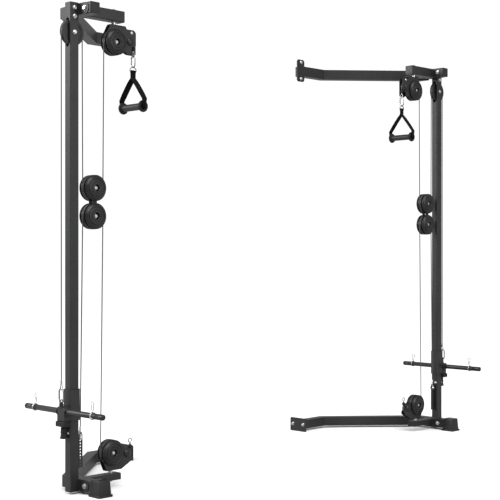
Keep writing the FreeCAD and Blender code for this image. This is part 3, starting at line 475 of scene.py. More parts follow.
def frame_bolts(side):
    """Every visible fastener of a column: post bolts, bracket bolts, swivel pins, rack bolts."""
    bm = bmesh.new()
    face = POST_D / 2
    for z in (2040.0, 2077.0, TOP_WHEEL.z):
        bolt(bm, (0, -face, z), (0, face, z), 15.0, 10.0)
    for z in (2073.0, 37.0):
        bolt(bm, (POST_W / 2, -60, z), (SIDE_X + SIDE_TUBE, -60, z), 18.0, 12.0)
    bolt(bm, (-POST_W / 2 - 4, -8, 263.0), (POST_W / 2, -8, 263.0), 13.0, 8.0)
    bolt(bm, (45.0, -5, 236.0), (45.0, 5, 236.0), 12.0, 8.0)
    fork = rectangle(39, 226, 51, 258)
    for y0, y1 in ((-5.0, -2.2), (2.2, 5.0)):
        prism(bm, rounded(fork, 4.0), y0, y1)
    block(bm, (39, -5, 251), (51, 5, 258), 2.0, "xz")
    lathe(bm, [(0, 256), (4.2, 256), (4.2, 280), (3.2, 282), (0, 282)], (45.0, 0, 0), (0, 0, 1), 24)
    high_pin_low = HIGH_WHEEL.z + 72.7
    low_pin_high = LOW_WHEEL.z - 72.7
    bolt(bm, (HIGH_WHEEL.x, 0, 2098), (HIGH_WHEEL.x, 0, high_pin_low), 15.5, 10.0)
    bolt(bm, (LOW_WHEEL.x, 0, 30), (LOW_WHEEL.x, 0, low_pin_high), 15.5, 10.0)
    for low, high, x in ((2035.5, 2048, HIGH_WHEEL.x), (60, 73, LOW_WHEEL.x)):
        sleeve = [(5.1, low + 0.4), (9.5, low + 0.4), (9.5, high - 0.2), (5.1, high - 0.2)]
        lathe(bm, sleeve, (x, 0, 0), (0, 0, 1), 32, True)
    plate_y = ARM_PLATE_HIGH.y - 55.0
    plate_x = ARM_PLATE_HIGH.x - 30.0
    for z in (2023.0, 2117.0):
        bolt(bm, (plate_x, plate_y, z), (plate_x, plate_y + 5, z), 15.0, 10.0)
    for y in (438.0, 516.0):
        bolt(bm, (684.0, y, 40.0), (689.0, y, 40.0), 15.0, 10.0)
    return put("bolts", side, bm, STEEL,
               replaced=("frame_bolts",) if side == "left" else (), angle=30)


def end_caps(side):
    """Domed plastic plugs with a lip in each open tube end."""
    bm = bmesh.new()
    half_w, half_d = POST_W / 2, POST_D / 2
    for low, high in ((10.0, 13.0), (2097.0, 2100.0)):
        block(bm, (-half_w, -half_d, low), (half_w, half_d, high), 4.0, "xy")
    block(bm, (SIDE_X, -96.0, 2048.0), (SIDE_X + SIDE_TUBE, -93.0, 2098.0), 4.0, "xz")
    block(bm, (SIDE_X + 4, -97.0, 2052.0), (SIDE_X + SIDE_TUBE - 4, -95.0, 2094.0), 3.0, "xz")
    half = SIDE_TUBE / 2
    for x, low, high in ((268.0, 2048.0, 2098.0), (247.0, 30.0, 60.0)):
        block(bm, (x, -half, low), (x + 3, half, high), 4.0, "yz")
        block(bm, (x + 2, -half + 4, low + 4), (x + 4, half - 4, high - 4), 3.0, "yz")
    return put("tube_plugs", side, bm, PLASTIC,
               replaced=("tube_end_caps",) if side == "left" else (), bevel=0.8)


def shoe(side):
    """Flared plastic shoe: tapering body, a moulded step above the sole and a rounded sole."""
    bm = bmesh.new()
    x0, x1, y0, y1 = SIDE_X - 5, SIDE_X + SIDE_TUBE + 5, -164.0, -102.0
    layers = [(-7, 0.0), (-8, 1.2), (-8, 7.6), (-7, 9.0), (-3.6, 9.4), (-3.3, 12.0), (0.0, 66.0), (0.8, 68.6),
              (3.0, 70.0)]
    rings = []
    for inset, z in layers:
        corners = rectangle(x0 + inset, y0 + inset, x1 - inset, y1 - inset)
        rings.append([bm.verts.new((p[0], p[1], z)) for p in rounded(corners, 7.0, 4)])
    skin(bm, rings)
    return put("shoe", side, bm, PLASTIC,
               replaced=("rubber_feet",) if side == "left" else (), angle=50)


def bumper(side):
    """Painted stop bracket and the ribbed rubber buffer that the carriage lands on."""
    bm = bmesh.new()
    x0 = -POST_W / 2
    block(bm, (x0 - 4, -16, 240), (x0, 16, 284), 4.0, "yz")
    block(bm, (x0 - 34, -14, 240), (x0 - 3, 14, 246), 5.0, "xy")
    put("stop_bracket", side, bm, PAINT, bevel=0.8)
    bm = bmesh.new()
    profile = [(0, 246.2), (13.4, 246.2), (14, 248), (14, 256), (12.6, 259), (12.6, 262), (14, 265),
               (14, 273), (12.6, 276), (12.6, 279), (13.6, 282), (12.6, 287), (8.5, 290.6), (0, 291.6)]
    lathe(bm, profile, (x0 - 20, 0, 0), (0, 0, 1), 40)
    return put("stop_buffer", side, bm, RUBBER,
               replaced=("stop_bumpers",) if side == "left" else (), angle=50)


def bead_loop(bm, corners, radius=2.0):
    """A rippled weld bead round a closed outline of 3-D corners."""
    points = []
    for i, corner in enumerate(corners):
        start, end = Vector(corner), Vector(corners[(i + 1) % len(corners)])
        steps = max(2, int((end - start).length / 3.0))
        points += [start.lerp(end, k / steps) for k in range(steps)]
    sweep(bm, points, radius, 8, True, 0.22, 0.8)


def welds(side):
    """Weld beads where the tubes and plates meet."""
    bm = bmesh.new()
    x = SIDE_X + SIDE_TUBE + 0.6
    half = SIDE_TUBE / 2 - 0.5
    for low, high in ((2049.0, 2097.0), (30.5, 59.5)):
        bead_loop(bm, [(x, -half, low), (x, half, low), (x, half, high), (x, -half, high)])
    for arm_low, arm_high in ((2042.5, 2097.5), (12.5, 61.5)):
        bead_loop(bm, [(x, 79.0, arm_low), (x, 138.0, arm_low), (x, 138.0, arm_high), (x, 79.0, arm_high)])
    bead_loop(bm, [(683.6, 453.0, 12.6), (683.6, 501.5, 12.6), (683.6, 501.5, 61.4), (683.6, 453.0, 61.4)])
    bead_loop(bm, [(668.0, 452.6, 2042.5), (668.0, 452.6, 2097.5), (669.0, 453.4, 2097.5),
                   (669.0, 453.4, 2042.5)], 1.8)
    x = POST_W / 2 + 0.4
    for z in (2073.0, 37.0):
        bead_loop(bm, [(x, -20.6, z - 24), (x, -20.6, z + 24), (x, -20.2, z + 24), (x, -20.2, z - 24)], 1.6)
    return put("weld_beads", side, bm, PAINT, angle=60)


# ---- Pulleys ----------------------------------------------------------------------------------
COVER_RIM = 57.0
RIM_PLANE = 18.0
FRONT_PLANE = 31.0
HOLE_R = 14.0
PLATE_IN, PLATE_OUT = 10.5, 13.5
YOKE_Y = 10.6
AXLE_REACH = 17.0
AXLE_D = 9.9
ROLLER_AXLE_D = 7.9


def wheel(name, side, center, radius, cable_radius, thick, bore):
    """A moulded wheel with a round-bottomed groove, a recessed web and a hub."""
    bm = bmesh.new()
    half = thick / 2
    bottom = cable_radius - CABLE_D / 2 - 0.4
    web = half - 2.6
    rim_in = bottom - 7.0
    hub = bore / 2 + 5.0
    if radius > 40:
        inner = [(bore / 2, -half), (hub, -half), (hub + 0.8, -web), (rim_in - 1, -web), (rim_in, -half)]
    else:
        inner = [(bore / 2, -half)]
    outer = [(radius - 0.8, -half), (radius, -half + 0.8), (radius, -CABLE_D / 2 - 1.4)]
    groove = [(bottom + 1.9, -CABLE_D / 2 - 0.2), (bottom + 0.6, -CABLE_D / 4), (bottom, 0)]
    near = inner + outer + groove
    profile = near + [(r, -h) for r, h in near[-2::-1]]
    lathe(bm, profile, center, (0, 1, 0), 72, True)
    return put(name + "_turned", side, bm, NYLON, name, (name + "_" + side,), angle=40)


def cover_solid(bm, center, face):
    """One domed cover: rolled rim, cone, ring line, flat face and the sunk bolt hole."""
    rim, plane = COVER_RIM, RIM_PLANE
    profile = [(HOLE_R, plane - 4.5), (rim - 5, plane - 4.5), (rim - 5, plane), (rim - 1.6, plane - 0.4),
               (rim - 0.3, plane + 0.6), (rim, plane + 1.8), (rim - 0.2, plane + 3.6),
               (rim - 1.4, plane + 4.8), (rim - 3.0, plane + 5.2), (rim - 3.6, plane + 4.4),
               (rim - 4.4, plane + 4.2), (rim - 5.0, plane + 4.8), (48, plane + 9.2),
               (44.2, plane + 11.4), (42.6, plane + 11.8), (41.8, plane + 11.4), (41.5, plane + 9.6),
               (39.6, plane + 9.4), (39.2, plane + 11.2), (38.4, plane + 11.8), (28.4, plane + 12.3),
               (27.6, plane + 12.0), (27.2, plane + 11.0), (25.8, plane + 11.0), (25.2, plane + 12.2),
               (17.0, FRONT_PLANE), (15.4, FRONT_PLANE - 0.2), (14.4, FRONT_PLANE - 1.4),
               (HOLE_R, FRONT_PLANE - 3)]
    lathe(bm, [(r, face * h) for r, h in profile], center, (0, 1, 0), 96, True)


def dome(bm, center, face):
    """Pressed dome over the guide roller's bolt."""
    radius, brim, rise = 18.2, PLATE_OUT + 2.4, 6.6
    profile = [(0, PLATE_OUT), (19, PLATE_OUT), (19, PLATE_OUT + 1.4), (radius, brim)]
    for step in range(1, 6):
        angle = math.radians(15 * step)
        profile.append((radius * math.cos(angle), brim + rise * math.sin(angle)))
    profile.append((0, brim + rise))
    lathe(bm, [(r, face * h) for r, h in profile], center, (0, 1, 0), 48)


def axle_bolt(bm, center, reach, across, shank):
    """A bolt through a wheel, with the plain shank that the wheel turns on."""
    bolt(bm, (center.x, -reach, center.z), (center.x, reach, center.z), across, shank)
    lathe(bm, [(0, -reach), (shank / 2, -reach), (shank / 2, reach), (0, reach)], center, (0, 1, 0), 32)


HIGH_REAR = [(-26, 78), (60, 78), (62, 66), (106, 66), (117, 55), (117, -36), (110, -44), (80, -44),
             (40, -30), (-12, -30), (-52, 30)]
HIGH_FRONT = [(-26, 78), (60, 78), (62, 66), (106, 66), (117, 55), (117, -6), (94, -8), (88, -44), (80, -44),
              (40, -30), (-12, -30), (-52, 30)]
LOW_PLATE = [(-31, 78), (52, 78), (115, 44), (117, 30), (106, 20), (102, -6), (80, -12), (40, -30),
             (-12, -30), (-52, 30)]


def head(name, side, wheel_center, roller_center, direction, front, rear, spacer):
    """Swivel head: pressed side plates, yoke, spacer, covers, domes and axles. direction 1 hangs."""
    bm = bmesh.new()
    x, z = wheel_center.x, wheel_center.z

    def outline(points):
        return [(x + dx, z + direction * dz) for dx, dz in points]
    for points, y0, y1 in ((front, -PLATE_OUT, -PLATE_IN), (rear, PLATE_IN, PLATE_OUT)):
        prism(bm, rounded(outline(points), 7.0), y0, y1)
    low, high = sorted((z + direction * 73.0, z + direction * 78.0))
    left, right = x + rear[0][0], x + rear[1][0]
    ring = [(5.05, low), (9.8, low), (9.8, high), (5.05, high)]
    lathe(bm, ring, (x, 0, 0), (0, 0, 1), 32, True)
    for x0, x1 in ((left, x - 9.0), (x + 9.0, right)):
        block(bm, (x0, -YOKE_Y, low), (x1, YOKE_Y, high), 0.8, "xz")
    for y0, y1 in ((-YOKE_Y, -9.0), (9.0, YOKE_Y)):
        block(bm, (x - 10, y0, low), (x + 10, y1, high), 0.4, "xz")
    put(name + "_plates", side, bm, PAINT, name, (name + "_" + side,), bevel=0.7)
    bm = bmesh.new()
    axle_bolt(bm, wheel_center, AXLE_REACH, 15.0, AXLE_D)
    axle_bolt(bm, roller_center, PLATE_OUT, 10.0, ROLLER_AXLE_D)
    spacer_x, spacer_z = outline([spacer])[0]
    if direction > 0:
        bolt(bm, (spacer_x, -PLATE_OUT, spacer_z), (spacer_x, PLATE_OUT, spacer_z), 10.0, 6.0)
    put(name + "_axles", side, bm, STEEL, name, angle=30)
    if direction < 0:
        bm = bmesh.new()
        lathe(bm, [(0, -13.4), (4, -13.4), (4, 13.4), (0, 13.4)], (spacer_x, 0, spacer_z), (0, 1, 0), 24)
        put(name + "_tie", side, bm, PAINT, name, angle=30)
    bm = bmesh.new()
    for face in (-1, 1):
        cover_solid(bm, wheel_center, face)
        dome(bm, roller_center, face)
    return put(name + "_shells", side, bm, PLASTIC, name, (name + "_covers_" + side,),
               angle=40)


def floating_block(side):
    """Block that hangs between the two cables: two straps, their axle bolts and four covers."""
    bm = bmesh.new()
    x = BLOCK_UPPER.x
    outline = rounded(rectangle(x - 12, BLOCK_LOWER.z - 16, x + 12, BLOCK_UPPER.z + 16), 8.0)
    for y0, y1 in ((-PLATE_OUT, -PLATE_IN), (PLATE_IN, PLATE_OUT)):
        prism(bm, outline, y0, y1)
    waist = (BLOCK_UPPER.z + BLOCK_LOWER.z) / 2
    block(bm, (x - 8, -YOKE_Y, waist - 1.5), (x + 8, YOKE_Y, waist + 1.5), 0.6, "xz")
    put("block_straps", side, bm, PAINT, "float_block", ("float_frame_" + side,),
        bevel=0.5, angle=30)
    bm = bmesh.new()
    for z in (BLOCK_UPPER.z, BLOCK_LOWER.z):
        axle_bolt(bm, Vector((x, 0, z)), AXLE_REACH, 15.0, AXLE_D)
    put("block_axles", side, bm, STEEL, "float_block", angle=30)
    bm = bmesh.new()
    for center in (BLOCK_UPPER, BLOCK_LOWER):
        for face in (-1, 1):
            cover_solid(bm, center, face)
    return put("block_shells", side, bm, PLASTIC, "float_block",
               ("float_covers_" + side,), angle=40)


# ---- Cables -----------------------------------------------------------------------------------
def tangent(a, turn_a, radius_a, b, turn_b, radius_b):
    """Ends of the straight run between two wheels. turn is 1 for clockwise seen from the front."""
    span = Vector((b.x - a.x, b.z - a.z))
    angle = math.asin((turn_b * radius_b - turn_a * radius_a) / span.length)
    along = span.normalized()
    across = Vector((-along.y, along.x))
    run = along * math.cos(angle) + across * math.sin(angle)
    normal = Vector((-run.y, 0, run.x))
    return a + normal * (turn_a * radius_a), b + normal * (turn_b * radius_b)


def wrap(center, radius, start, end, turn):
    """Points of the cable round a wheel, from where it arrives to where it leaves."""
    first = math.atan2(start.z - center.z, start.x - center.x)
    last = math.atan2(end.z - center.z, end.x - center.x)
    if turn > 0 and last > first:
        last -= 2 * math.pi
    if turn < 0 and last < first:
        last += 2 * math.pi
    count = max(3, int(abs(last - first) / math.radians(7)))
    return arc(center, radius, math.degrees(first), math.degrees(last), count)


CLEAR_OF_COVER = 62.0


def cables(side):
    """The two cables, in stretches between the bodies they join."""
    hook = Vector(((WEIGHT_HOOK_LOW.x + WEIGHT_HOOK_HIGH.x) / 2, 0, WEIGHT_HOOK_HIGH.z + 24))
    rise = tangent(hook, 1, 0.0, TOP_WHEEL, 1, CABLE_R)
    fall = tangent(TOP_WHEEL, 1, CABLE_R, BLOCK_UPPER, -1, CABLE_R)
    lift = tangent(BLOCK_UPPER, -1, CABLE_R, HIGH_WHEEL, 1, CABLE_R)
    over = tangent(HIGH_WHEEL, 1, CABLE_R, HIGH_ROLLER, 1, ROLLER_CABLE_R)
    out = HIGH_ROLLER + Vector((ROLLER_CABLE_R, 0, 0))
    split_high = lift[0].lerp(lift[1], 0.5)

    def strand(name, points, body, follow=None, replaced=()):
        bm = bmesh.new()
        sweep(bm, points, CABLE_D / 2, 12)
        put(name, side, bm, VINYL, body, replaced, 0.0, 60, follow)
    strand("high_cable_rise", list(rise), "carriage", ("root", rise[0].z + 5, rise[1].z - 5),
           ("high_cable_" + side,))
    strand("high_cable_loop", wrap(TOP_WHEEL, CABLE_R, rise[1], fall[0], 1)
           + wrap(BLOCK_UPPER, CABLE_R, fall[1], lift[0], -1) + [split_high],
           "root", ("float_block", split_high.z - 1, BLOCK_UPPER.z + 4))
    near_high = lift[0].lerp(lift[1], (HIGH_WHEEL.z - CLEAR_OF_COVER - lift[0].z) / (lift[1].z - lift[0].z))
    strand("high_cable_lift", [split_high, near_high, lift[1]], "root",
           ("high_head", split_high.z + 1, near_high.z - 1))
    strand("high_cable_exit", wrap(HIGH_WHEEL, CABLE_R, lift[1], over[0], 1)
           + wrap(HIGH_ROLLER, ROLLER_CABLE_R, over[1], out, 1), "high_head")
    ball_z = HOOK_HIGH.z
    strand("high_cable_end", [out, Vector((out.x, 0, ball_z - 2))], "high_head",
           ("handle_hook", out.z - 1, ball_z + 1))

    fitting = Vector((45.0, 0, 281.0))
    climb = tangent(fitting, 1, 0.0, BLOCK_LOWER, 1, CABLE_R)
    drop = tangent(BLOCK_LOWER, 1, CABLE_R, LOW_WHEEL, -1, CABLE_R)
    under = tangent(LOW_WHEEL, -1, CABLE_R, LOW_ROLLER, -1, ROLLER_CABLE_R)
    away = LOW_ROLLER + Vector((ROLLER_CABLE_R, 0, 0))
    split_low = drop[0].lerp(drop[1], 0.72)
    strand("low_cable_loop", [climb[0]] + wrap(BLOCK_LOWER, CABLE_R, climb[1], drop[0], 1) + [split_low],
           "root", ("float_block", split_low.z + 1, BLOCK_LOWER.z - 4), ("low_cable_" + side,))
    near_low = drop[0].lerp(drop[1], (drop[0].z - LOW_WHEEL.z - CLEAR_OF_COVER) / (drop[0].z - drop[1].z))
    strand("low_cable_drop", [split_low, near_low, drop[1]], "root",
           ("low_head", split_low.z - 1, near_low.z + 1))
    strand("low_cable_exit", wrap(LOW_WHEEL, CABLE_R, drop[1], under[0], -1)
           + wrap(LOW_ROLLER, ROLLER_CABLE_R, under[1], away, -1), "low_head")
    strand("low_cable_end", [away, Vector((away.x, 0, LOW_HOOK_LOW.z + 2))], "low_head",
           ("low_hook", away.z + 1, LOW_HOOK_LOW.z - 1))


# ---- Hooks, handle and weight carriage --------------------------------------------------------
def oval(x, low, high, width, wire, count=14):
    """Centre line of an oval link in the y-z plane."""
    radius = (width - wire) / 2
    bottom = low + wire / 2 + radius
    top = high - wire / 2 - radius
    return arc((x, 0, bottom), radius, 180, 360, count, "yz") + arc((x, 0, top), radius, 0, 180, count, "yz")


def snap_hook(bm, x, low, high, width, wire=7.0):
    """Snap hook: bent body, spring gate with its pivot pin and a thicker nose."""
    sweep(bm, oval(x, low, high, width, wire), wire / 2 * 0.94, 12, True)
    side_y = (width - wire) / 2
    length = high - low
    gate_low, gate_high = low + length * 0.3, low + length * 0.72
    sweep(bm, [(x, side_y, gate_low), (x, side_y, gate_high)], wire * 0.56, 14)
    lathe(bm, [(0, -4), (2.2, -4), (2.2, 4), (0, 4)], (x, side_y, gate_low + 2), (1, 0, 0), 16)
    nose = [(0, 0), (wire * 0.6, 0.6), (wire * 0.62, 4.5), (wire * 0.5, 6), (0, 6)]
    lathe(bm, nose, (x, side_y, gate_high + 0.5), (0, 0, 1), 16)


def cable_eye(bm, x, low, high):
    """Thimble loop and pressed ferrule at the end of a cable."""
    loop = oval(x, low, low + 26, 15.0, 3.0)
    sweep(bm, loop, 2.0, 10, True)
    start, rings = low + 24, 4
    step = (high - start) / rings
    sleeve = [(0, start)]
    for i in range(rings):
        z = start + step * i
        sleeve += [(3.9, z + 0.1 * step), (4.8, z + 0.35 * step), (4.8, z + 0.7 * step),
                   (3.9, z + 0.95 * step)]
    sleeve += [(0, high)]
    lathe(bm, sleeve, (x, 0, 0), (0, 0, 1), 24)


def stop_ball(name, side, x, z, body):
    """Rubber ball on a cable, which stops the cable's end at its head."""
    bm = bmesh.new()
    ball = [(0, -BALL_R)]
    for degrees in range(-75, 90, 15):
        angle = math.radians(degrees)
        ball.append((BALL_R * math.cos(angle), BALL_R * math.sin(angle)))
    lathe(bm, ball + [(0, BALL_R)], (x, 0, z), (0, 0, 1), 40)
    put(name, side, bm, RUBBER, body, angle=60)


def handle(side):
    """Cable end, snap hook and ring above the handle, then its strap and grip."""
    x = GRIP.x
    bm = bmesh.new()
    ring_bar = STRAP_HIGH.z - 6.2
    hook_low, hook_high = 1857.0, 1912.0
    snap_hook(bm, x, hook_low, hook_high, 32.0)
    eye_low = hook_high - 9.0
    sweep(bm, oval(x, eye_low, eye_low + 25, 17.0, 4.0), 2.3, 10, True)
    sleeve = [(0, eye_low + 23)]
    for z in (eye_low + 23, eye_low + 27):
        sleeve += [(3.6, z), (4.6, z + 0.8), (4.6, z + 2.6), (3.6, z + 3.6)]
    lathe(bm, sleeve + [(0, eye_low + 31)], (x, 0, 0), (0, 0, 1), 24)
    half, shoulder = RING_HALF, ring_bar + 10
    neck_half, neck_z = 4, 1863
    ring = rounded([(x - half, ring_bar), (x + half, ring_bar), (x + half, shoulder), (x + neck_half, neck_z),
                    (x - neck_half, neck_z), (x - half, shoulder)], 4.0, 4)
    sweep(bm, [(p[0], 0, p[1]) for p in ring], 2.5, 12, True)
    put("handle_clip", side, bm, CHROME, "handle_hook", ("handle_hook_" + side,), angle=50)
    stop_ball("handle_stop_ball", side, x, HOOK_HIGH.z - BALL_R, "handle_hook")
    strap(side, x, ring_bar)
    grip(side, x)


def band(bm, path, thick, x):
    """Flat webbing along (y, z, width) points, with softly rounded edges."""
    rings = []
    for i, (y, z, width) in enumerate(path):
        before, after = path[max(i - 1, 0)], path[min(i + 1, len(path) - 1)]
        along = Vector((after[0] - before[0], after[1] - before[1])).normalized()
        normal = Vector((-along.y, along.x))
        half, edge = width / 2, thick / 2
        section = [(-half, -edge * 0.5), (-half + 0.7, -edge), (half - 0.7, -edge), (half, -edge * 0.5),
                   (half, edge * 0.5), (half - 0.7, edge), (-half + 0.7, edge), (-half, edge * 0.5)]
        rings.append([bm.verts.new((x + across, y + normal.x * out, z + normal.y * out))
                      for across, out in section])
    skin(bm, rings)


LEG_WIDTH = 34.0


def strap(side, x, ring_bar):
    """Webbing: two legs sewn together under the ring, and the run that is folded through the grip."""
    bm = bmesh.new()
    full, thick = STRAP_HIGH.x - STRAP_LOW.x, 2.6
    split, low = 1812.0, GRIP.z - 5.4
    reach = STRAP_HIGH.y - thick / 2
    loop = [(1.4, split, full), (1.4, ring_bar - 9, full), (3.4, ring_bar - 3, full), (4.6, ring_bar, full)]
    loop += [(4.6 * math.cos(math.radians(a)), ring_bar + 4.6 * math.sin(math.radians(a)), full)
             for a in range(30, 180, 30)]
    loop += [(-y, z, width) for y, z, width in loop[3::-1]]
    legs = []
    for k in range(1, 11):
        t = k / 10
        bow = 1.8 * math.sin(math.pi * t)
        width = min(full + 30.0 * t, LEG_WIDTH, LEG_WIDTH + 14.0 * (0.75 - t))
        legs.append((1.4 + (reach - 1.4) * t + bow, split + (GRIP.z + 34 - split) * t, width))
    turn = [(reach, GRIP.z + 22, full - 3), (reach, GRIP.z + 10, FOLD + 1.0), (reach, low + 6, FOLD),
            (reach - 1.2, low + 2, FOLD), (reach - 4, low, FOLD)]
    right = legs + turn + [(0, low, FOLD)]
    band(bm, right[::-1] + loop + [(-y, z, width) for y, z, width in right], thick, x)
    put("handle_webbing", side, bm, WEBBING, "handle_strap", ("handle_strap_" + side,), angle=40)
    bm = bmesh.new()
    for z in (split + 2, split + 6, ring_bar - 12):
        for across in range(-10, 11, 4):
            for y in (-2.9, 2.9):
                sweep(bm, [(x + across - 1.3, y, z), (x + across + 1.3, y, z)], 0.4, 6)
    put("handle_stitching", side, bm, GRIP_RUBBER, "handle_strap", angle=60)


def grip(side, x):
    """Grip tube with shallow finger rings near its ends, and rolled end discs round an open bore."""
    half, bore, disc = GRIP_HALF, 13.6, 26.5
    bm = bmesh.new()
    body = [(bore + 0.1, -half + 10), (16.4, -half + 10)]
    for k in range(3):
        y = -half + 14 + 4 * k
        body += [(16.0, y), (15.7, y + 0.7), (16.0, y + 1.4)]
    body += [(15.9, -half + 26), (15.7, -20), (15.8, 0)]
    profile = body + [(r, -h) for r, h in body[-2::-1]]
    lathe(bm, profile, (x, 0, GRIP.z), (0, 1, 0), 56, True)
    put("grip_body", side, bm, GRIP_RUBBER, "handle_grip", ("handle_grip_" + side,), angle=45)
    bm = bmesh.new()
    for face in (-1, 1):
        flange = [(bore, half - 11.6), (bore, half - 2.2), (bore + 0.8, half - 0.8), (bore + 2.4, half - 0.2),
                  (17.0, half - 1.6), (20.5, half - 1.6), (22.8, half), (25.0, half - 0.8),
                  (disc, half - 3.2), (disc, half - 7.8), (25.2, half - 10.0), (22.6, half - 11.0),
                  (18.0, half - 12.0), (16.2, half - 14.0), (15.9, half - 11.6)]
        lathe(bm, [(r, face * h) for r, h in flange], (x, 0, GRIP.z), (0, 1, 0), 64, True)
    return put("grip_flanges", side, bm, RUBBER, "handle_grip", angle=45)


def low_ring(side):
    """Stop ball, ferrule and ring at the low cable's free end."""
    x = (LOW_HOOK_LOW.x + LOW_HOOK_HIGH.x) / 2
    ball_z = LOW_HOOK_LOW.z + BALL_R
    stop_ball("low_stop_ball", side, x, ball_z, "low_hook")
    bm = bmesh.new()
    lathe(bm, [(0, 8.5), (3.6, 8.5), (4.4, 11), (3.4, 13), (4.4, 15), (3.4, 17), (0, 19)], (x, 0, ball_z),
          (0, 0, 1), 20)
    sweep(bm, arc((x, 0, ball_z + 26), 9.0, 0, 345, 24, "xz"), 2.25, 12, True)
    return put("low_eye", side, bm, CHROME, "low_hook", ("low_hook_" + side,), angle=50)


def carriage(side):
    """Weight carriage: sleeve round the post, bar holder, cable eye, landing pad and end bushes."""
    bm = bmesh.new()
    bore_x, bore_y, wall = POST_W / 2 + 0.5, POST_D / 2 + 0.5, 4.0
    out_x, out_y = bore_x + wall, bore_y + wall
    z0, z1 = 316.0, 448.0
    outer = rounded(rectangle(-out_x, -out_y, out_x, out_y), 5.0, 5)
    inner = rounded(rectangle(-bore_x, -bore_y, bore_x, bore_y), 1.5, 5)
    skin(bm, [[bm.verts.new((p[0], p[1], z)) for p in outline] for outline, z in
              ((outer, z0), (outer, z1), (inner, z1), (inner, z0))], True)
    block(bm, (-59.0, -25.0, 314.0), (-out_x + 0.5, 25.0, 374.0), 4.0, "xz")
    eye_x, hole_z = -55.0, 398.0
    block(bm, (eye_x - 10, -3, 373), (eye_x + 10, 3, hole_z - 7), 3.0, "xz")
    sweep(bm, arc((eye_x, 0, hole_z), 8.2, 0, 345, 24, "xz"), 2.7, 12, True)
    lathe(bm, [(0, 374), (11, 374), (11, 376), (9, 377.5), (0, 377.5)], (eye_x, 0, 0), (0, 0, 1), 32)
    put("carriage_body", side, bm, PAINT, "carriage", ("carriage_" + side,), bevel=0.8)
    bm = bmesh.new()
    prism(bm, rounded(rectangle(-65, -33, -24, 33), 8.0), 292.0, 314.5, "xy")
    put("carriage_pad", side, bm, RUBBER, "carriage", bevel=3.0, angle=60)
    bm = bmesh.new()
    lip = rounded(rectangle(-out_x + 1, -out_y + 1, out_x - 1, out_y - 1), 4.0, 5)
    for z in (z0 + 0.8, z1 - 0.8):
        sweep(bm, [(p[0], p[1], z) for p in lip], 1.9, 8, True)
    put("carriage_bushes", side, bm, PLASTIC, "carriage", angle=60)


def plate_bar(side):
    """Plate bar: painted tube with a seam at each end cap, two stop discs and the caps."""
    bm = bmesh.new()
    low, high = BAR_LOW.y, BAR_HIGH.y
    neck, end = BAR_R - 0.4, high - 49.0
    profile = [(0, low + 46), (neck, low + 46), (neck, -end), (BAR_R, -end + 0.6), (BAR_R, end - 0.6),
               (neck, end), (neck, high - 46), (0, high - 46)]
    lathe(bm, profile, (BAR_X, 0, BAR_Z), (0, 1, 0), 40)
    put("bar_tube", side, bm, PAINT, "carriage", ("weight_bar_" + side,), angle=40)
    bm = bmesh.new()
    for face in (-1, 1):
        cap = [(0, 272), (9, 271.6), (11.6, 270.4), (12.5, 268.4), (12.5, 225.6), (12.1, 225), (0, 225)]
        lathe(bm, [(r, face * h) for r, h in cap], (BAR_X, 0, BAR_Z), (0, 1, 0), 40)
        disc = [(BAR_R - 0.5, 25.0), (18.6, 25.0), (20, 26.4), (20, 29.6), (18.6, 31.0), (14.5, 31.0),
                (BAR_R - 0.5, 31.8)]
        lathe(bm, [(r, face * h) for r, h in disc], (BAR_X, 0, BAR_Z), (0, 1, 0), 48, True)
    return put("bar_fittings", side, bm, PLASTIC, "carriage", angle=40)


def collar(name, side):
    """Spring collar: coils, an upright loop and a finger, sideways at the rear and along the bar in front."""
    low, high = ends(name)
    center_y = (low.y + high.y) / 2
    outward = 1 if center_y > 0 else -1
    bm = bmesh.new()
    wire, radius, coils, steps = 1.5, BAR_R + 2.3, 2.25, 72
    coil_half, bend = 3.6, 8.5
    rise = BAR_Z + radius
    top = high.z - wire
    loop_y = center_y - coil_half * outward
    upright = [(BAR_X, loop_y, rise), (BAR_X, loop_y - 1.5 * outward, rise + 9)]
    first, last = (180, 0) if outward > 0 else (0, 180)
    over = arc((BAR_X, loop_y, top - bend), bend, first, last, 11, "yz")
    back = [(BAR_X + 3.5, loop_y + 4.0 * outward, rise + 16), (BAR_X + 4, loop_y + 1.5 * outward, rise + 6)]
    loop = upright + over + back
    coil = []
    for i in range(steps + 1):
        angle = math.radians(90) + 2 * math.pi * coils * i / steps
        y = center_y + outward * coil_half * (2 * i / steps - 1)
        coil.append((BAR_X + radius * math.cos(angle), y, BAR_Z + radius * math.sin(angle)))
    end_x, end_y, end_z = coil[-1]
    if outward > 0:
        finger = [(end_x - 3, end_y + 0.5, end_z - 3), (end_x - 9, end_y + 2, end_z - 1),
                  (end_x - 24, end_y + 5, end_z + 4), (end_x - 33, end_y + 6, end_z + 5)]
    else:
        finger = [(end_x - 2, end_y - 2, end_z - 4), (end_x - 3, end_y - 8, end_z - 7),
                  (end_x - 3, end_y - 20, end_z - 8), (end_x - 3, end_y - 26, end_z - 8)]
    sweep(bm, loop[::-1] + coil[1:] + finger, wire, 8)
    return put(name + "_spring", side, bm, CHROME, name, (name + "_" + side,), angle=60)


def weight_clip(side):
    """Snap hook and cable eye that join the high cable to the carriage."""
    bm = bmesh.new()
    x = (WEIGHT_HOOK_LOW.x + WEIGHT_HOOK_HIGH.x) / 2
    low, high = WEIGHT_HOOK_LOW.z, WEIGHT_HOOK_HIGH.z
    snap_hook(bm, x, low, high, WEIGHT_HOOK_HIGH.y - WEIGHT_HOOK_LOW.y + 8.0)
    cable_eye(bm, x, high - 12, high + 30)
    return put("weight_clip", side, bm, CHROME, "carriage", ("weight_hook_" + side,), angle=50)


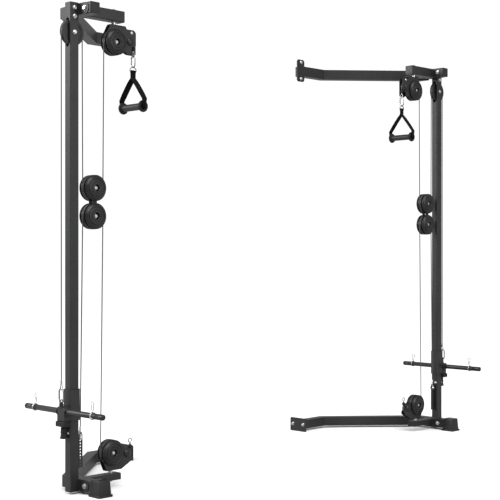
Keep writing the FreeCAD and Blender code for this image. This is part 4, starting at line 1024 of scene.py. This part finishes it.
# ---- Assembly ---------------------------------------------------------------------------------
WHEELS = {"top_wheel": TOP_WHEEL, "float_upper_wheel": BLOCK_UPPER, "float_lower_wheel": BLOCK_LOWER,
          "high_head_wheel": HIGH_WHEEL, "low_head_wheel": LOW_WHEEL}
ROLLERS = {"high_head_roller": HIGH_ROLLER, "low_head_roller": LOW_ROLLER}

dress_cad_nodes()
for column in SIDES:
    frame_bolts(column)
    end_caps(column)
    shoe(column)
    bumper(column)
    welds(column)
    for wheel_name, wheel_center in WHEELS.items():
        wheel(wheel_name, column, wheel_center, WHEEL_R, CABLE_R, 17.0, AXLE_D + 0.2)
    for wheel_name, wheel_center in ROLLERS.items():
        wheel(wheel_name, column, wheel_center, ROLLER_R, ROLLER_CABLE_R, 15.0, ROLLER_AXLE_D + 0.2)
    head("high_head", column, HIGH_WHEEL, HIGH_ROLLER, 1, HIGH_FRONT, HIGH_REAR, (92, 52))
    head("low_head", column, LOW_WHEEL, LOW_ROLLER, -1, LOW_PLATE, LOW_PLATE, (68, 50))
    floating_block(column)
    cables(column)
    handle(column)
    low_ring(column)
    carriage(column)
    plate_bar(column)
    collar("collar_front", column)
    collar("collar_rear", column)
    weight_clip(column)


# ---- Studio -----------------------------------------------------------------------------------
def studio():
    """White floor and world, two soft boxes and a broad overhead light."""
    bpy.ops.mesh.primitive_plane_add(size=60.0, location=(0, 0, -0.0005))
    floor = bpy.context.object
    floor.name = "studio_floor"
    floor.data.materials.append(floor_paint())
    world = bpy.data.worlds.new("studio")
    bpy.context.scene.world = world
    world.use_nodes = True
    nodes, links = world.node_tree.nodes, world.node_tree.links
    background = nodes["Background"]
    background.inputs["Color"].default_value = (1, 1, 1, 1)
    seen = nodes.new("ShaderNodeLightPath")
    strength = nodes.new("ShaderNodeMapRange")
    tune(strength, {"To Min": 0.5, "To Max": 1.05})
    links.new(seen.outputs["Is Camera Ray"], strength.inputs["Value"])
    links.new(strength.outputs["Result"], background.inputs["Strength"])

    def softbox(name, place, target, size, power):
        light = bpy.data.lights.new(name, "AREA")
        light.shape = "SQUARE"
        light.size = size
        light.energy = power
        lamp = bpy.data.objects.new(name, light)
        bpy.context.scene.collection.objects.link(lamp)
        lamp.location = place
        lamp.rotation_euler = (Vector(target) - Vector(place)).to_track_quat("-Z", "Y").to_euler()
        lamp.visible_camera = False
    center = (0, 0, 1.1)
    softbox("outer", (-7.0, 4.0, 4.6), center, 4.0, 560)
    softbox("front", (1.0, -7.0, 3.0), center, 3.0, 118)
    sun = bpy.data.lights.new("sky", "SUN")
    sun.energy = 2.6
    sun.angle = math.radians(50)
    lamp = bpy.data.objects.new("sky", sun)
    bpy.context.scene.collection.objects.link(lamp)
    lamp.rotation_euler = (math.radians(28), math.radians(-22), 0)
    bpy.context.scene.view_settings.view_transform = "Standard"


def camera():
    """Level camera at waist height, looking diagonally across the two columns."""
    heading = math.radians(45.47)
    offset = Vector((-3.0435, -4.0629, 1.0421))
    data = bpy.data.cameras.new("camera")
    data.lens = 84.5
    data.sensor_width = 36.0
    data.clip_end = 100.0
    eye = bpy.data.objects.new("camera", data)
    bpy.context.scene.collection.objects.link(eye)
    eye.location = AXIS + offset
    eye.rotation_euler = (math.radians(90), 0, -heading)
    bpy.context.scene.camera = eye


studio()
camera()
